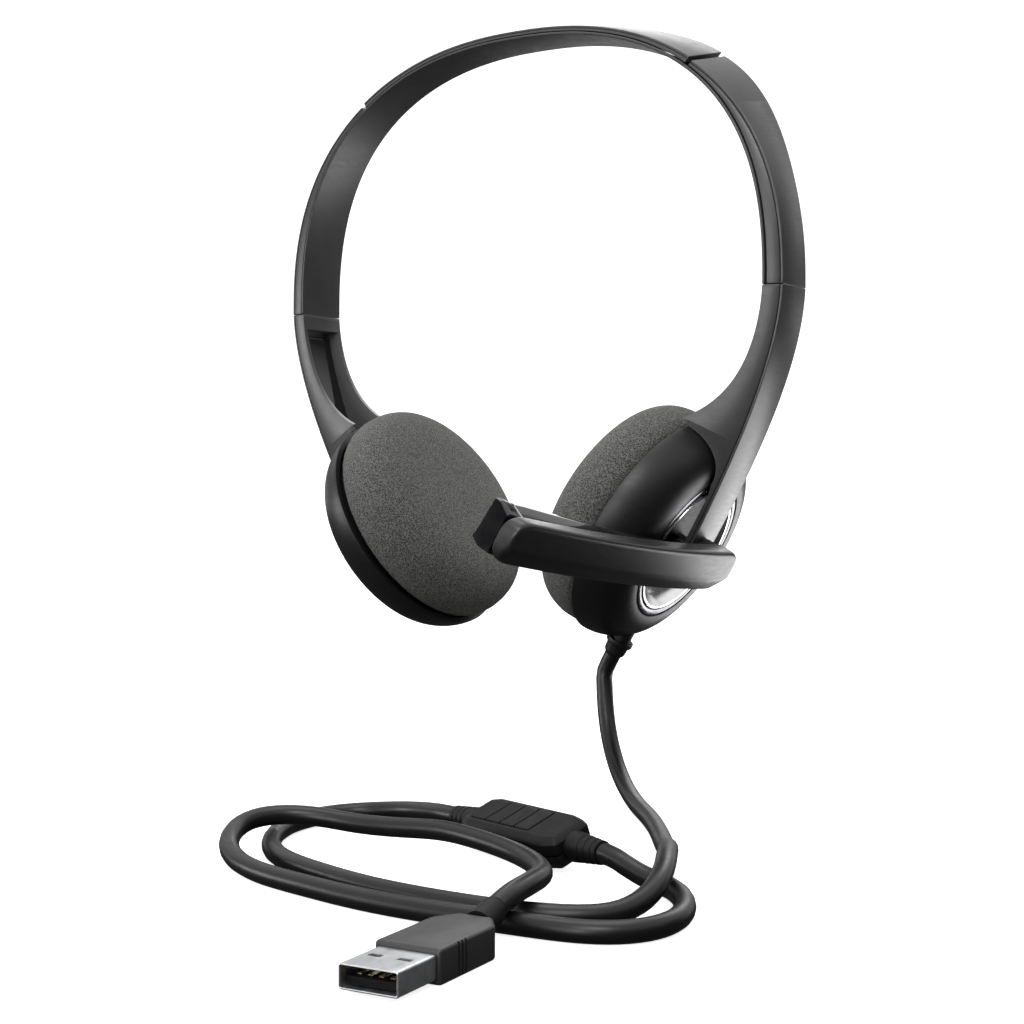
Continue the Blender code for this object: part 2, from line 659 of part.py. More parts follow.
def build_boom(cup_frame):
    """Outer shell, glossy inner core with the microphone, hub and axle."""
    radius = BOOM_HEIGHT / 2
    stations = [-radius, -radius * 0.9, -radius * 0.6, -radius * 0.25]
    stations += list(np.linspace(0, BOOM_REACH - radius, 15))
    stations += [BOOM_REACH - radius * k for k in (0.7, 0.4, 0.12, 0.0)]
    sections = []
    for forward in stations:
        up, face = boom_spine(forward)
        share = end_share(forward, -radius, BOOM_REACH, radius)
        half = radius * share * (1 - BOOM_SLIM * max(forward, 0) / BOOM_REACH)
        thick = BOOM_THICK - BOOM_THINNING * max(forward, 0) / BOOM_REACH
        back = face - thick
        k = share * MM
        ring = [
            (-half, back + 0.8 * k), (-half, face - 2.4 * k), (-half + 3.6 * k, face), (half - 1.6 * k, face),
            (half - 0.4 * k, face - 0.5 * k), (half, face - 1.6 * k), (half, back + 0.8 * k),
            (half - 0.8 * k, back), (-half + 0.8 * k, back)]
        sections.append([(up + u, forward, s) for u, s in ring])
    shell = loft("boom_shell", "satin", sections, parent=cup_frame)

    tip = BOOM_REACH + CORE_OVERHANG
    core_half = radius - CORE_EDGE
    rows = []
    for forward in [CORE_START + d * MM for d in (0, 8, 18, 28, 38, 48, 56, 62, 67, 70.5, 72)]:
        forward = min(forward, tip)
        up, face = boom_spine(forward)
        outer = face - (BOOM_THICK - BOOM_THINNING * min(forward / BOOM_REACH, 1.0)) - GAP
        share = min((forward - CORE_START) / (BOOM_REACH * 0.65), 1.0)
        thick = CORE_THIN + (CORE_THICK - CORE_THIN) * share
        round_off = max(1 - ((forward - tip + 5 * MM) / (5.6 * MM)) ** 2, 0.1) if forward > tip - 5 * MM else 1.0
        half = core_half * math.sqrt(round_off)
        rows.append([
            (up + u, forward, s) for u, s in (
                (-half, outer - 0.2 * MM), (-half + 0.3 * MM, outer), (half - 0.3 * MM, outer),
                (half, outer - 0.2 * MM), (half, outer - thick * 0.7), (half - 1.0 * MM, outer - thick),
                (-half + 1.0 * MM, outer - thick), (-half, outer - thick * 0.7))])
    core = loft("boom_core", "gloss", rows, parent=cup_frame)

    mic_at = tip - MIC_FROM_TIP
    up, face = boom_spine(mic_at)
    inner_face = face - BOOM_THICK - GAP - 4.0 * MM
    pocket = Matrix.Translation((up, mic_at, inner_face))
    boolean(core, cylinder("mic_pocket", None, MIC_RADIUS + GAP, 2 * MIC_DEPTH, 20, pocket, cup_frame))
    seat = Matrix.Translation((up, mic_at, inner_face + MIC_DEPTH - GAP - MIC_HEIGHT / 2))
    cylinder("mic_capsule", "steel", MIC_RADIUS, MIC_HEIGHT, 20, seat, cup_frame)

    low = ARM_FACE + GAP
    high = BOOM_FACE - BOOM_THICK - GAP
    bore = AXLE_RADIUS + RUNNING
    turned("boom_hub", "dark", [
        (HUB_RADIUS, high), (HUB_RADIUS, low), (bore, low), (bore, high)], steps=28, closed=True,
        parent=cup_frame)
    axle_low = ARM_FACE - END_PLATE + GAP
    axle_high = BOOM_FACE - BOOM_THICK + 1.8 * MM
    middle = Matrix.Translation((0, 0, (axle_low + axle_high) / 2))
    cylinder("boom_axle", "steel", AXLE_RADIUS, axle_high - axle_low, 20, middle, cup_frame)
    hole = Matrix.Translation((0, 0, axle_high + GAP - 3 * MM))
    boolean(shell, cylinder("axle_pocket", None, bore, 6 * MM, 20, hole, cup_frame))


# ---------------------------------------------------------------- cord
def smooth_route(points):
    """Evenly spaced points of a Catmull-Rom curve; its first and last stretches stay straight."""
    knots = np.array(points, float) * MM
    t = np.linspace(0, 1, 40, endpoint=False)[:, None]
    runs = []
    for i in range(len(knots) - 3):
        a, b, c, d = knots[i:i + 4]
        runs.append(0.5 * (2 * b + (c - a) * t + (2 * a - 5 * b + 4 * c - d) * t ** 2
                           + (3 * b - a - 3 * c + d) * t ** 3))
    dense = np.vstack(runs + [knots[-2:-1]])
    along = np.concatenate([[0], np.cumsum(np.linalg.norm(np.diff(dense, axis=0), axis=1))])
    spots = np.linspace(0, along[-1], int(round(along[-1] / CORD_SPACING)) + 1)
    middle = np.stack([np.interp(spots, along, dense[:, k]) for k in range(3)], axis=1)
    middle[:, 2] = np.maximum(middle[:, 2], FLOOR_Z + CORD_RADIUS + 0.02 * MM)
    return np.vstack([knots[:1], middle, knots[-1:]])


def tube(name, route):
    """The cord's own solid: a poly curve with a round bevel and filled caps."""
    points = smooth_route(route)
    curve = bpy.data.curves.new(name, "CURVE")
    curve.dimensions = "3D"
    curve.bevel_depth = CORD_RADIUS
    curve.bevel_resolution = 2
    curve.use_fill_caps = True
    spline = curve.splines.new("POLY")
    spline.points.add(len(points) - 1)
    spline.points.foreach_set("co", np.hstack([points, np.ones((len(points), 1))]).ravel())
    curve.materials.append(material("cord"))
    made = bpy.data.objects.new(name, curve)
    PARTS.objects.link(made)
    return made


def cord_points():
    """Both cords' routes in millimetres: out of the boot, down, and over the surface below."""
    low = FLOOR_Z / MM + CORD_RADIUS / MM + 0.05
    over = low + 2 * CORD_RADIUS / MM + 0.3
    start = cup_matrix() @ Vector((-BOOT_END - GAP, 0, BOOT_HEIGHT)) / MM
    leave = cup_matrix() @ Vector((-BOOT_END - 5 * MM, 0, BOOT_HEIGHT)) / MM
    left_end, right_end = remote_ends()
    upper = [
        tuple(start), tuple(leave), (24.6, -0.8, -54.5), (26.6, -3.0, -62.5), (31.6, -8.0, -70.5),
        (38.5, -15.0, -76.0), (47.5, -24.5, low + 0.5), (58, -37, low), (68, -51, low), (79, -68.5, low + 0.4),
        (87.5, -83.5, over - 1.0), (94, -97, over + 0.3), (99.6, -109, over - 0.5), (101.8, -119, low + 1.8),
        (99.3, -128, low), (92, -134, low), (81.8, -136.2, low), (65.7, -136.8, low), (46, -135, low),
        (26.3, -129.5, low), (11.6, -123.6, low), (0.5, -114.5, low), (-8, -102.5, low), (-12.8, -90, low),
        (-13.2, -78.5, low), (-8.5, -70.6, low + 0.2), (0, -68.2, low + 0.9), (9.5, -70.2, low + 2.1),
        left_end[1], left_end[0]]
    plug_end = plug_exit()
    lower = [
        right_end[0], right_end[1], (86.5, -98.2, low + 1.2), (94.5, -99.0, low + 0.1), (102.5, -106.5, low),
        (109, -117.5, low), (111.3, -129, low), (107.5, -138.5, low), (98.5, -142.6, low), (84.7, -143.5, low),
        (65.6, -144.8, low), (48, -143.8, low), (32, -140.6, low), (16, -136.6, low), (3, -130.6, low + 0.9),
        (-5.6, -122, low + 2.8), (-8.8, -112.5, low + 4.8), (-5.6, -104.8, over + 0.4), (2.4, -100.2, over),
        (13, -97.6, over - 1.2), (25, -96.8, over - 1.0), (37, -97.6, over - 0.1), (49, -101.2, over - 0.2),
        (60.5, -105.6, over - 0.6), (70.5, -111.5, over - 1.0), (78, -120, over - 0.8), (82, -130, over + 0.2),
        plug_end[1], plug_end[0]]
    return upper, lower


# ---------------------------------------------------------------- remote
def remote_matrix():
    yaw = Matrix.Rotation(REMOTE_YAW, 4, "Z")
    roll = Matrix.Rotation(REMOTE_ROLL, 4, "X")
    return Matrix.Translation(REMOTE_CENTRE) @ yaw @ roll


def remote_ends():
    """For each end, where the cord meets the strain relief and a point a little further out, in mm."""
    reach = REMOTE_SIZE.x / 2 + GAP + RELIEF_LENGTH + GAP
    ends = []
    for sign in (-1, 1):
        near = remote_matrix() @ Vector((sign * reach, 0, 0)) / MM
        far = remote_matrix() @ Vector((sign * (reach + 5 * MM), 0, 0)) / MM
        ends.append((tuple(near), tuple(far)))
    return ends


def build_remote():
    """Two shells, four buttons, the circuit board and two ribbed strain reliefs."""
    frame = empty_frame("remote", remote_matrix())
    length, width, height = REMOTE_SIZE
    half = height / 2
    shell_height = half - GAP / 2
    window = (3 * BUTTON_PITCH + BUTTON_SIZE.x + 2 * GAP, BUTTON_SIZE.y + 2 * GAP, height)
    for name, sign in (("remote_top", 1), ("remote_bottom", -1)):
        middle = sign * (half + GAP / 2) / 2
        shell = box(
            name, "dark", (length, width, shell_height), (0, 0, middle), bevel=0.0, parent=frame)
        step = shell.modifiers.new("chamfer", "BEVEL")
        step.width = 1.3 * MM
        step.segments = 1
        step.limit_method = "WEIGHT"
        mark_outer_edges(shell.data, sign)
        inner = (length - 2 * REMOTE_WALL, width - 2 * REMOTE_WALL, shell_height)
        hollow = box(f"{name}_hollow", None, inner, (0, 0, middle - sign * REMOTE_WALL), parent=frame)
        boolean(shell, hollow)
        if sign > 0:
            opening = box("button_window", None, window, (BUTTON_ROW_X, 0, half), parent=frame)
            boolean(shell, opening)
    board_top = -0.6 * MM
    inner_size = (length - 2 * REMOTE_WALL - 2 * GAP, width - 2 * REMOTE_WALL - 2 * GAP, 1.0 * MM)
    box("remote_board", "board", inner_size, (0, 0, board_top - 0.5 * MM), parent=frame)
    foot = board_top + BUTTON_TRAVEL + GAP
    top = half + BUTTON_PROUD
    for i in range(4):
        x = BUTTON_ROW_X + (i - 1.5) * BUTTON_PITCH
        at = Matrix.Translation((x, 0, (foot + top) / 2))
        box(
            f"remote_button_{i + 1}", "dark", (BUTTON_SIZE.x, BUTTON_SIZE.y, top - foot), bevel=0.4 * MM,
            parent=frame, matrix=at)
    for name, sign in (("remote_relief_left", -1), ("remote_relief_right", 1)):
        point = Matrix.Translation((sign * (length / 2 + GAP), 0, 0))
        turn = Matrix.Rotation(sign * math.pi / 2, 4, "Y")
        relief(name, frame, point @ turn, RELIEF_LENGTH, 3.5 * MM, CORD_RADIUS + 0.35 * MM, 3)


def mark_outer_edges(mesh, sign):
    """Weight 1 on the edges of the half shell's outer face and its four corners."""
    weights = mesh.attributes.new("bevel_weight_edge", "FLOAT", "EDGE")
    middle = sum(v.co.z for v in mesh.vertices) / len(mesh.vertices)
    for edge in mesh.edges:
        ends = [mesh.vertices[i].co for i in edge.vertices]
        upright = abs(ends[0].z - ends[1].z) > MM
        outer = all((end.z - middle) * sign > 0 for end in ends)
        weights.data[edge.index].value = 1.0 if upright or outer else 0.0


def relief(name, frame, matrix, length, base, tip, grooves):
    """A tapered strain relief along local Z with turned grooves near its tip."""
    profile = [(0, length), (tip, length)]
    step = 0.55 * length / (grooves + 0.5)
    for i in range(grooves):
        z = length - (i + 0.6) * step
        radius = tip + (base - tip) * (length - z) / length
        profile += [
            (radius, z + 0.35 * step), (radius - 0.6 * MM, z + 0.15 * step), (radius - 0.6 * MM, z - 0.15 * step),
            (radius, z - 0.35 * step)]
    profile += [(base, 0.25 * length), (base, 0), (0, 0)]
    return turned(name, "dark", profile, steps=16, parent=frame, matrix=matrix)


# ---------------------------------------------------------------- plug
def plug_matrix():
    """Origin at the middle of the shell's mouth, X back along the plug, Z up."""
    turn = Matrix.Rotation(math.pi / 2 + PLUG_YAW, 4, "Z")
    height = FLOOR_Z + PLUG_BODY.z / 2
    return Matrix.Translation((PLUG_NOSE.x, PLUG_NOSE.y, height)) @ turn


def plug_relief_matrix():
    lean = PLUG_RELIEF_BASE * math.sin(PLUG_RELIEF_SLOPE)
    back = Matrix.Translation((PLUG_SHELL.x + PLUG_BODY.x + GAP + lean, 0, PLUG_EXIT_RISE))
    turn = Matrix.Rotation(math.pi / 2 - PLUG_RELIEF_SLOPE, 4, "Y")
    return plug_matrix() @ back @ turn


def plug_exit():
    """Where the cord meets the plug's strain relief, and a point further out, in mm."""
    near = plug_relief_matrix() @ Vector((0, 0, PLUG_RELIEF + GAP)) / MM
    far = plug_relief_matrix() @ Vector((0, 0, PLUG_RELIEF + 4 * MM)) / MM
    return tuple(near), tuple(far)


def build_plug():
    """Overmould, folded metal shell, tongue, four contacts and strain relief."""
    frame = empty_frame("plug", plug_matrix())
    length, width, height = PLUG_SHELL
    shell = box("plug_shell", "steel", (length, width, height), (length / 2, 0, 0), parent=frame)
    inside = (2 * length, width - 2 * PLUG_WALL, height - 2 * PLUG_WALL)
    boolean(shell, box("shell_mouth", None, inside, (length - PLUG_WALL - length, 0, 0), parent=frame))
    for i, y in enumerate((-3.0 * MM, 3.0 * MM)):
        window = box(
            f"shell_window_{i}", None, (2.0 * MM, 2.2 * MM, 2 * height), (0.58 * length, y, 0), parent=frame)
        boolean(shell, window)
    tongue_high = -0.1 * MM
    tongue_low = -height / 2 + PLUG_WALL + GAP
    reach = length - PLUG_WALL - 2 * GAP
    box(
        "plug_tongue", "dark", (reach - 1.5 * MM, width - 2 * PLUG_WALL - 2 * GAP, tongue_high - tongue_low),
        (1.5 * MM + (reach - 1.5 * MM) / 2, 0, (tongue_high + tongue_low) / 2), parent=frame)
    for i in range(4):
        y = (i - 1.5) * 2.25 * MM
        box(
            f"plug_contact_{i + 1}", "gold", (7.0 * MM, 1.0 * MM, 0.25 * MM),
            (6.0 * MM, y, tongue_high + 0.1 * MM + 0.125 * MM), parent=frame)

    body = plug_body_outline(frame)
    for i in range(3):
        at = PLUG_SHELL.x + (8.5 + 1.5 * i) * MM
        for sign in (-1, 1):
            groove = box(
                f"grip_groove_{i}_{sign + 1}", None, (0.6 * MM, 1.0 * MM, 2 * PLUG_BODY.z),
                (at, sign * PLUG_BODY.y / 2, 0), parent=frame)
            boolean(body, groove)
    matrix = plug_matrix().inverted() @ plug_relief_matrix()
    relief("plug_relief", frame, matrix, PLUG_RELIEF, PLUG_RELIEF_BASE, CORD_RADIUS + 0.3 * MM, 1)


def plug_body_outline(frame):
    """The overmould: a flat outline with clipped rear corners, extruded and bevelled."""
    length, width, height = PLUG_BODY
    start = PLUG_SHELL.x + GAP
    end = PLUG_SHELL.x + length
    half, clip = width / 2, 3.2 * MM
    outline = [
        (start, -half), (end - 1.5 * clip, -half), (end, -half + clip), (end, half - clip),
        (end - 1.5 * clip, half), (start, half)]
    points = [(x, y, -height / 2) for x, y in outline] + [(x, y, height / 2) for x, y in outline]
    count = len(outline)
    faces = [tuple(reversed(range(count))), tuple(range(count, 2 * count))]
    faces += [(i, (i + 1) % count, (i + 1) % count + count, i + count) for i in range(count)]
    body = place(mesh_from("plug_body", points, faces), "plug_body", "dark", parent=frame)
    step = body.modifiers.new("edges", "BEVEL")
    step.width = 0.7 * MM
    step.segments = 2
    step.limit_method = "ANGLE"
    return body


# ---------------------------------------------------------------- assembly
def build_boot(housing, cup_frame):
    """The cable boot under the right cup and the hole it passes through."""
    down = Matrix.Translation((0, 0, BOOT_HEIGHT)) @ Matrix.Rotation(-math.pi / 2, 4, "Y")
    neck, collar = 2.75 * MM, 3.8 * MM
    turned("cable_boot", "dark", [
        (0, BOOT_END), (CORD_RADIUS + 0.45 * MM, BOOT_END), (3.0 * MM, BOOT_END - 0.8 * MM),
        (3.1 * MM, BOOT_BASE + 1.2 * MM), (collar, BOOT_BASE), (neck, BOOT_BASE),
        (neck, 24.5 * MM), (0, 24.5 * MM)], steps=20, parent=cup_frame, matrix=down)
    for name, radius, start in (("boot_hole", neck, 20 * MM), ("boot_seat", collar, BOOT_BASE - GAP)):
        length = BOOT_END - start
        middle = down @ Matrix.Translation((0, 0, start + length / 2))
        boolean(housing, cylinder(name, None, radius + GAP, length, 20, middle, cup_frame))


def build_headset():
    frames = side_frames()
    covers = build_headband()
    for side, frame in frames.items():
        cup_frame = empty_frame(f"cup_frame_{side}", cup_matrix(), frame)
        housing = build_cup(side, cup_frame)
        arm = build_arm(side, frames, cup_frame, covers[side])
        if side == "right":
            build_boom(cup_frame)
            bore = AXLE_RADIUS + RUNNING
            hole = Matrix.Translation((0, 0, ARM_FACE))
            boolean(arm, cylinder("axle_hole", None, bore, 3 * END_PLATE, 20, hole, cup_frame))
            build_boot(housing, cup_frame)
        else:
            low = ARM_FACE + GAP
            turned("hub_cap", "dark", [
                (0, low + 1.4 * MM), (HUB_RADIUS - 0.8 * MM, low + 1.4 * MM), (HUB_RADIUS, low + 0.6 * MM),
                (HUB_RADIUS, low), (0, low)], steps=28, parent=cup_frame)
    build_remote()
    build_plug()
    upper, lower = cord_points()
    tube("cord_upper", upper)
    tube("cord_lower", lower)


PARTS, CUTTERS = clear_scene()
build_headset()
bpy.context.view_layer.update()
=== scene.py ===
import json
import math

import bpy
import numpy as np
from mathutils import Matrix, Vector


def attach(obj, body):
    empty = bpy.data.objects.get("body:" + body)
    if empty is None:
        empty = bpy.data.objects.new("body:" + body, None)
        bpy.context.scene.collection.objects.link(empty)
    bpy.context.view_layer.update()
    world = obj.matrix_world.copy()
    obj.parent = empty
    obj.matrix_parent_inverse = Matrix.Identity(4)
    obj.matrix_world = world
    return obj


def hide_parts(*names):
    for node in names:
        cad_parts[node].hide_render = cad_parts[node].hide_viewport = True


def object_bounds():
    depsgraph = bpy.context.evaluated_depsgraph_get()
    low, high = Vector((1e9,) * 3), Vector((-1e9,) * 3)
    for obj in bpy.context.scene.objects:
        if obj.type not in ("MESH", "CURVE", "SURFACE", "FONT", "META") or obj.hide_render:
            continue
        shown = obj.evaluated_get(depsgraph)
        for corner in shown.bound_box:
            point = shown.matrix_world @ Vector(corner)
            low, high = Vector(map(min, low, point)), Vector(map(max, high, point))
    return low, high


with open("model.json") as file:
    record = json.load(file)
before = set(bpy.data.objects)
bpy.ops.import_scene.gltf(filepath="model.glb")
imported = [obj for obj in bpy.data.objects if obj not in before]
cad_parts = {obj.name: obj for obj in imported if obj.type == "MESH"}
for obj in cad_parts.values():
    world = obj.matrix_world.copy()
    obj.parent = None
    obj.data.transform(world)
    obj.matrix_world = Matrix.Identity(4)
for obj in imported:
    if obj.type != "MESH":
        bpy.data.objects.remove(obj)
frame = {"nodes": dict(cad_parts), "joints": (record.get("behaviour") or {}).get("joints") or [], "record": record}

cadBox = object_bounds()
mm = 0.001
mounts = {m["name"]: m for m in frame["record"]["mounts"]}
joints = {j["name"]: j for j in frame["joints"]}
nodes = frame["nodes"]
print("frame loaded:", len(nodes), "nodes")

# Camera
camera = {"azimuth": 32.47, "elevation": 1.06, "distance": 0.502, "lens": 61.5,
          "target": (-0.0062, 0.0, -0.0045)}


def addCamera(c):
    a = math.radians(c["azimuth"])
    e = math.radians(c["elevation"])
    back = Vector((math.sin(a) * math.cos(e), -math.cos(a) * math.cos(e), math.sin(e)))
    data = bpy.data.cameras.new("camera")
    data.lens = c["lens"]
    data.sensor_width = 36.0
    data.clip_start = 0.01
    obj = bpy.data.objects.new("camera", data)
    obj.location = Vector(c["target"]) + back * c["distance"]
    obj.rotation_euler = back.to_track_quat("Z", "Y").to_euler()
    bpy.context.scene.collection.objects.link(obj)
    bpy.context.scene.camera = obj


addCamera(camera)


# Mesh helpers
# A grid of points, rows by columns. A closed one wraps its columns, and a capped one gets a face at each end.
def gridFaces(rows, cols, closed=True, capped=True):
    i, j = np.meshgrid(np.arange(rows - 1), np.arange(cols if closed else cols - 1), indexing="ij")
    k = (j + 1) % cols
    quads = np.stack([i * cols + j, i * cols + k, (i + 1) * cols + k, (i + 1) * cols + j], -1).reshape(-1, 4)
    faces = quads.tolist()
    if capped:
        faces.append(list(range(cols))[::-1])
        faces.append(list(range((rows - 1) * cols, rows * cols)))
    return faces


def coordinates(mesh):
    co = np.zeros(len(mesh.vertices) * 3, np.float32)
    mesh.vertices.foreach_get("co", co)
    return co.reshape(-1, 3).astype(float)


def addMesh(name, points, faces, body=None, sharp=35):
    mesh = bpy.data.meshes.new(name)
    mesh.from_pydata(np.asarray(points).reshape(-1, 3).tolist(), [], faces)
    mesh.validate()
    # signed volume below zero means the shell is inside out
    mesh.calc_loop_triangles()
    tri = np.zeros(len(mesh.loop_triangles) * 3, np.int32)
    mesh.loop_triangles.foreach_get("vertices", tri)
    a, b, c = (coordinates(mesh)[tri.reshape(-1, 3)[:, n]] for n in range(3))
    if np.einsum("ij,ij->i", a, np.cross(b, c)).sum() < 0:
        mesh.flip_normals()
    mesh.shade_smooth()
    mesh.set_sharp_from_angle(angle=math.radians(sharp))
    obj = bpy.data.objects.new(name, mesh)
    bpy.context.scene.collection.objects.link(obj)
    if body:
        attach(obj, body)
    return obj


def moved(points, matrix):
    m = np.array(matrix)
    return np.asarray(points) @ m[:3, :3].T + m[:3, 3]


# Rings of points skinned into one closed piece.
def loft(name, rings, matrix, body=None, sharp=35):
    return addMesh(name, moved(rings, matrix), gridFaces(len(rings), len(rings[0])), body, sharp)


# A profile of (radius, height) turned about Z; a closed profile makes a ring, an open one ends on the axis.
def turned(name, profile, matrix, body, steps=128, ring=False, sharp=35):
    profile = np.array(profile, float)
    if not ring:
        profile = profile[profile[:, 0] > 1e-7]
    turn = np.linspace(0, 2 * math.pi, steps, endpoint=False)
    x = profile[:, :1] * np.cos(turn)
    y = profile[:, :1] * np.sin(turn)
    z = np.repeat(profile[:, 1:], steps, axis=1)
    grid = np.stack([x, y, z], -1)
    if ring:
        grid = np.concatenate([grid, grid[:1]])
        faces = np.array(gridFaces(len(grid), steps, capped=False))
        faces = (faces % (len(profile) * steps)).tolist()
        return addMesh(name, moved(grid[:-1], matrix), faces, body, sharp)
    return addMesh(name, moved(grid, matrix), gridFaces(len(grid), steps), body, sharp)


# A closed outline with each corner rounded by a quadratic curve that starts the given radius away from it.
def rounded(points, radius, steps=5):
    p = np.array(points, float)
    r = np.broadcast_to(np.asarray(radius, float), (len(p),))
    before = np.roll(p, 1, axis=0) - p
    after = np.roll(p, -1, axis=0) - p
    lb = np.linalg.norm(before, axis=1)
    la = np.linalg.norm(after, axis=1)
    reach = np.minimum(np.minimum(r, lb * 0.48), la * 0.48)
    start = p + before / lb[:, None] * reach[:, None]
    end = p + after / la[:, None] * reach[:, None]
    t = np.linspace(0, 1, steps)[None, :, None]
    curve = (1 - t) ** 2 * start[:, None] + 2 * t * (1 - t) * p[:, None] + t ** 2 * end[:, None]
    return curve.reshape(-1, 2)


# A rounded rectangle outline, and a stack of its insets at heights: a slab with shaped edges.
def roundRect(halfX, halfY, radius, steps=8):
    return rounded([(-halfX, -halfY), (halfX, -halfY), (halfX, halfY), (-halfX, halfY)], radius, steps)


def stack(name, outline, levels, matrix, body=None):
    outline = np.asarray(outline)
    middle = (outline.max(0) + outline.min(0)) / 2
    half = (outline.max(0) - outline.min(0)) / 2
    rows = []
    for inset, z in levels:
        ring = middle + (outline - middle) * (half - inset) / half
        rows.append(np.column_stack([ring, np.full(len(ring), z)]))
    return loft(name, rows, matrix, body)


# The levels of a slab whose two edges are rounded by the given radius.
def softLevels(low, high, radius, steps=4):
    a = np.linspace(0, math.pi / 2, steps)
    bottom = [(radius * (1 - math.sin(x)), low + radius * (1 - math.cos(x))) for x in a]
    top = [(radius * (1 - math.cos(x)), high - radius * (1 - math.sin(x))) for x in a]
    return bottom + top


def cut(obj, cutters, operation="DIFFERENCE"):
    for cutter in cutters:
        step = obj.modifiers.new("cut", "BOOLEAN")
        step.operation = operation
        step.solver = "EXACT"
        step.object = cutter
    bpy.context.view_layer.update()
    graph = bpy.context.evaluated_depsgraph_get()
    mesh = bpy.data.meshes.new_from_object(obj.evaluated_get(graph))
    obj.modifiers.clear()
    obj.data = mesh
    mesh.shade_smooth()
    mesh.set_sharp_from_angle(angle=math.radians(30))
    for cutter in cutters:
        bpy.data.objects.remove(cutter, do_unlink=True)
    return obj


# Places, all from the frame
cupOrigin = Vector((39.3 * mm, 0, -8.1 * mm))
cushionDepth = (Vector(mounts["ear_face_right"]["pos_m"]) - cupOrigin).length


def cupMatrix(side):
    mount = mounts["ear_face_" + side]
    out = -Vector(mount["axis"]).normalized()
    y = Vector((0, -1 if side == "right" else 1, 0))
    up = y.cross(out)
    m = Matrix.Identity(4)
    for k, v in enumerate((up, y, out)):
        m.col[k] = (*v, 0)
    m.translation = Vector(mount["pos_m"]) + out * cushionDepth
    return m


cups = {side: cupMatrix(side) for side in ("right", "left")}
sideTurn = {"right": Matrix.Identity(4), "left": Matrix.Rotation(math.pi, 4, "Z")}
floorZ = cadBox[0][2]


# Materials
def newMaterial(name, colour, roughness, metallic=0.0):
    made = bpy.data.materials.new(name)
    made.use_nodes = True
    tree = made.node_tree
    shader = tree.nodes["Principled BSDF"]
    shader.inputs["Base Color"].default_value = (*colour, 1)
    shader.inputs["Roughness"].default_value = roughness
    shader.inputs["Metallic"].default_value = metallic
    return made, tree, shader


def addNode(tree, kind, **values):
    made = tree.nodes.new(kind)
    for key, value in values.items():
        if hasattr(made, key):
            setattr(made, key, value)
        else:
            made.inputs[key].default_value = value
    return made


def objectSpace(tree, scale=(1, 1, 1), turn=(0, 0, 0)):
    where = tree.nodes.new("ShaderNodeTexCoord")
    mapping = tree.nodes.new("ShaderNodeMapping")
    mapping.inputs["Scale"].default_value = scale
    mapping.inputs["Rotation"].default_value = turn
    tree.links.new(where.outputs["Object"], mapping.inputs["Vector"])
    return mapping.outputs["Vector"]


def noise(tree, vector, scale, detail=3.0, roughness=0.5):
    made = addNode(tree, "ShaderNodeTexNoise", Scale=scale, Detail=detail, Roughness=roughness)
    tree.links.new(vector, made.inputs["Vector"])
    return made.outputs["Fac"]


def ramp(tree, value, stops, socket=None):
    made = tree.nodes.new("ShaderNodeValToRGB")
    tree.links.new(value, made.inputs["Fac"])
    elements = made.color_ramp.elements
    while len(elements) < len(stops):
        elements.new(0.5)
    for element, (spot, colour) in zip(elements, stops):
        element.position = spot
        element.color = (*colour, 1)
    if socket:
        tree.links.new(made.outputs["Color"], socket)
    return made.outputs["Color"]


def span(tree, value, low, high, fromLow, fromHigh, socket=None):
    made = addNode(tree, "ShaderNodeMapRange")
    made.inputs["From Min"].default_value = fromLow
    made.inputs["From Max"].default_value = fromHigh
    made.inputs["To Min"].default_value = low
    made.inputs["To Max"].default_value = high
    tree.links.new(value, made.inputs["Value"])
    if socket:
        tree.links.new(made.outputs["Result"], socket)
    return made.outputs["Result"]


def bump(tree, shader, height, strength, distance, under=None):
    made = addNode(tree, "ShaderNodeBump", Strength=strength, Distance=distance)
    tree.links.new(height, made.inputs["Height"])
    if under:
        tree.links.new(under, made.inputs["Normal"])
    tree.links.new(made.outputs["Normal"], shader.inputs["Normal"])
    return made.outputs["Normal"]


# Moulded plastic: fine spark-eroded grain, soft cloudy gloss, and a few faint scuffs.
def mouldedPlastic(name, colour, roughness, grain=2600, grainDepth=0.12, scuffs=0.06, specular=0.5):
    made, tree, shader = newMaterial(name, colour, roughness)
    shader.inputs["Specular IOR Level"].default_value = specular
    space = objectSpace(tree)
    cloud = noise(tree, space, 90, 4)
    darker = tuple(c * 0.86 for c in colour)
    lighter = tuple(min(c * 1.16, 1) for c in colour)
    ramp(tree, cloud, [(0.3, darker), (0.7, lighter)], shader.inputs["Base Color"])
    streak = noise(tree, objectSpace(tree, (1, 1, 9), (0.4, 0.2, 0)), 260, 5, 0.65)
    span(tree, streak, roughness - scuffs, roughness + scuffs, 0.3, 0.7, shader.inputs["Roughness"])
    speckle = noise(tree, space, grain, 2, 0.6)
    bump(tree, shader, speckle, grainDepth, 0.0001)
    return made


def glossPlastic(name, colour, roughness=0.07):
    made, tree, shader = newMaterial(name, colour, roughness)
    shader.inputs["Coat Weight"].default_value = 0.6
    shader.inputs["Coat Roughness"].default_value = 0.03
    space = objectSpace(tree)
    smear = noise(tree, space, 160, 5, 0.6)
    span(tree, smear, roughness * 0.6, roughness * 2.2, 0.35, 0.75, shader.inputs["Roughness"])
    lighter = tuple(c * 1.5 for c in colour)
    ramp(tree, noise(tree, space, 60), [(0.3, colour), (0.75, lighter)], shader.inputs["Base Color"])
    bump(tree, shader, noise(tree, space, 45, 1), 0.05, 0.0004)
    return made


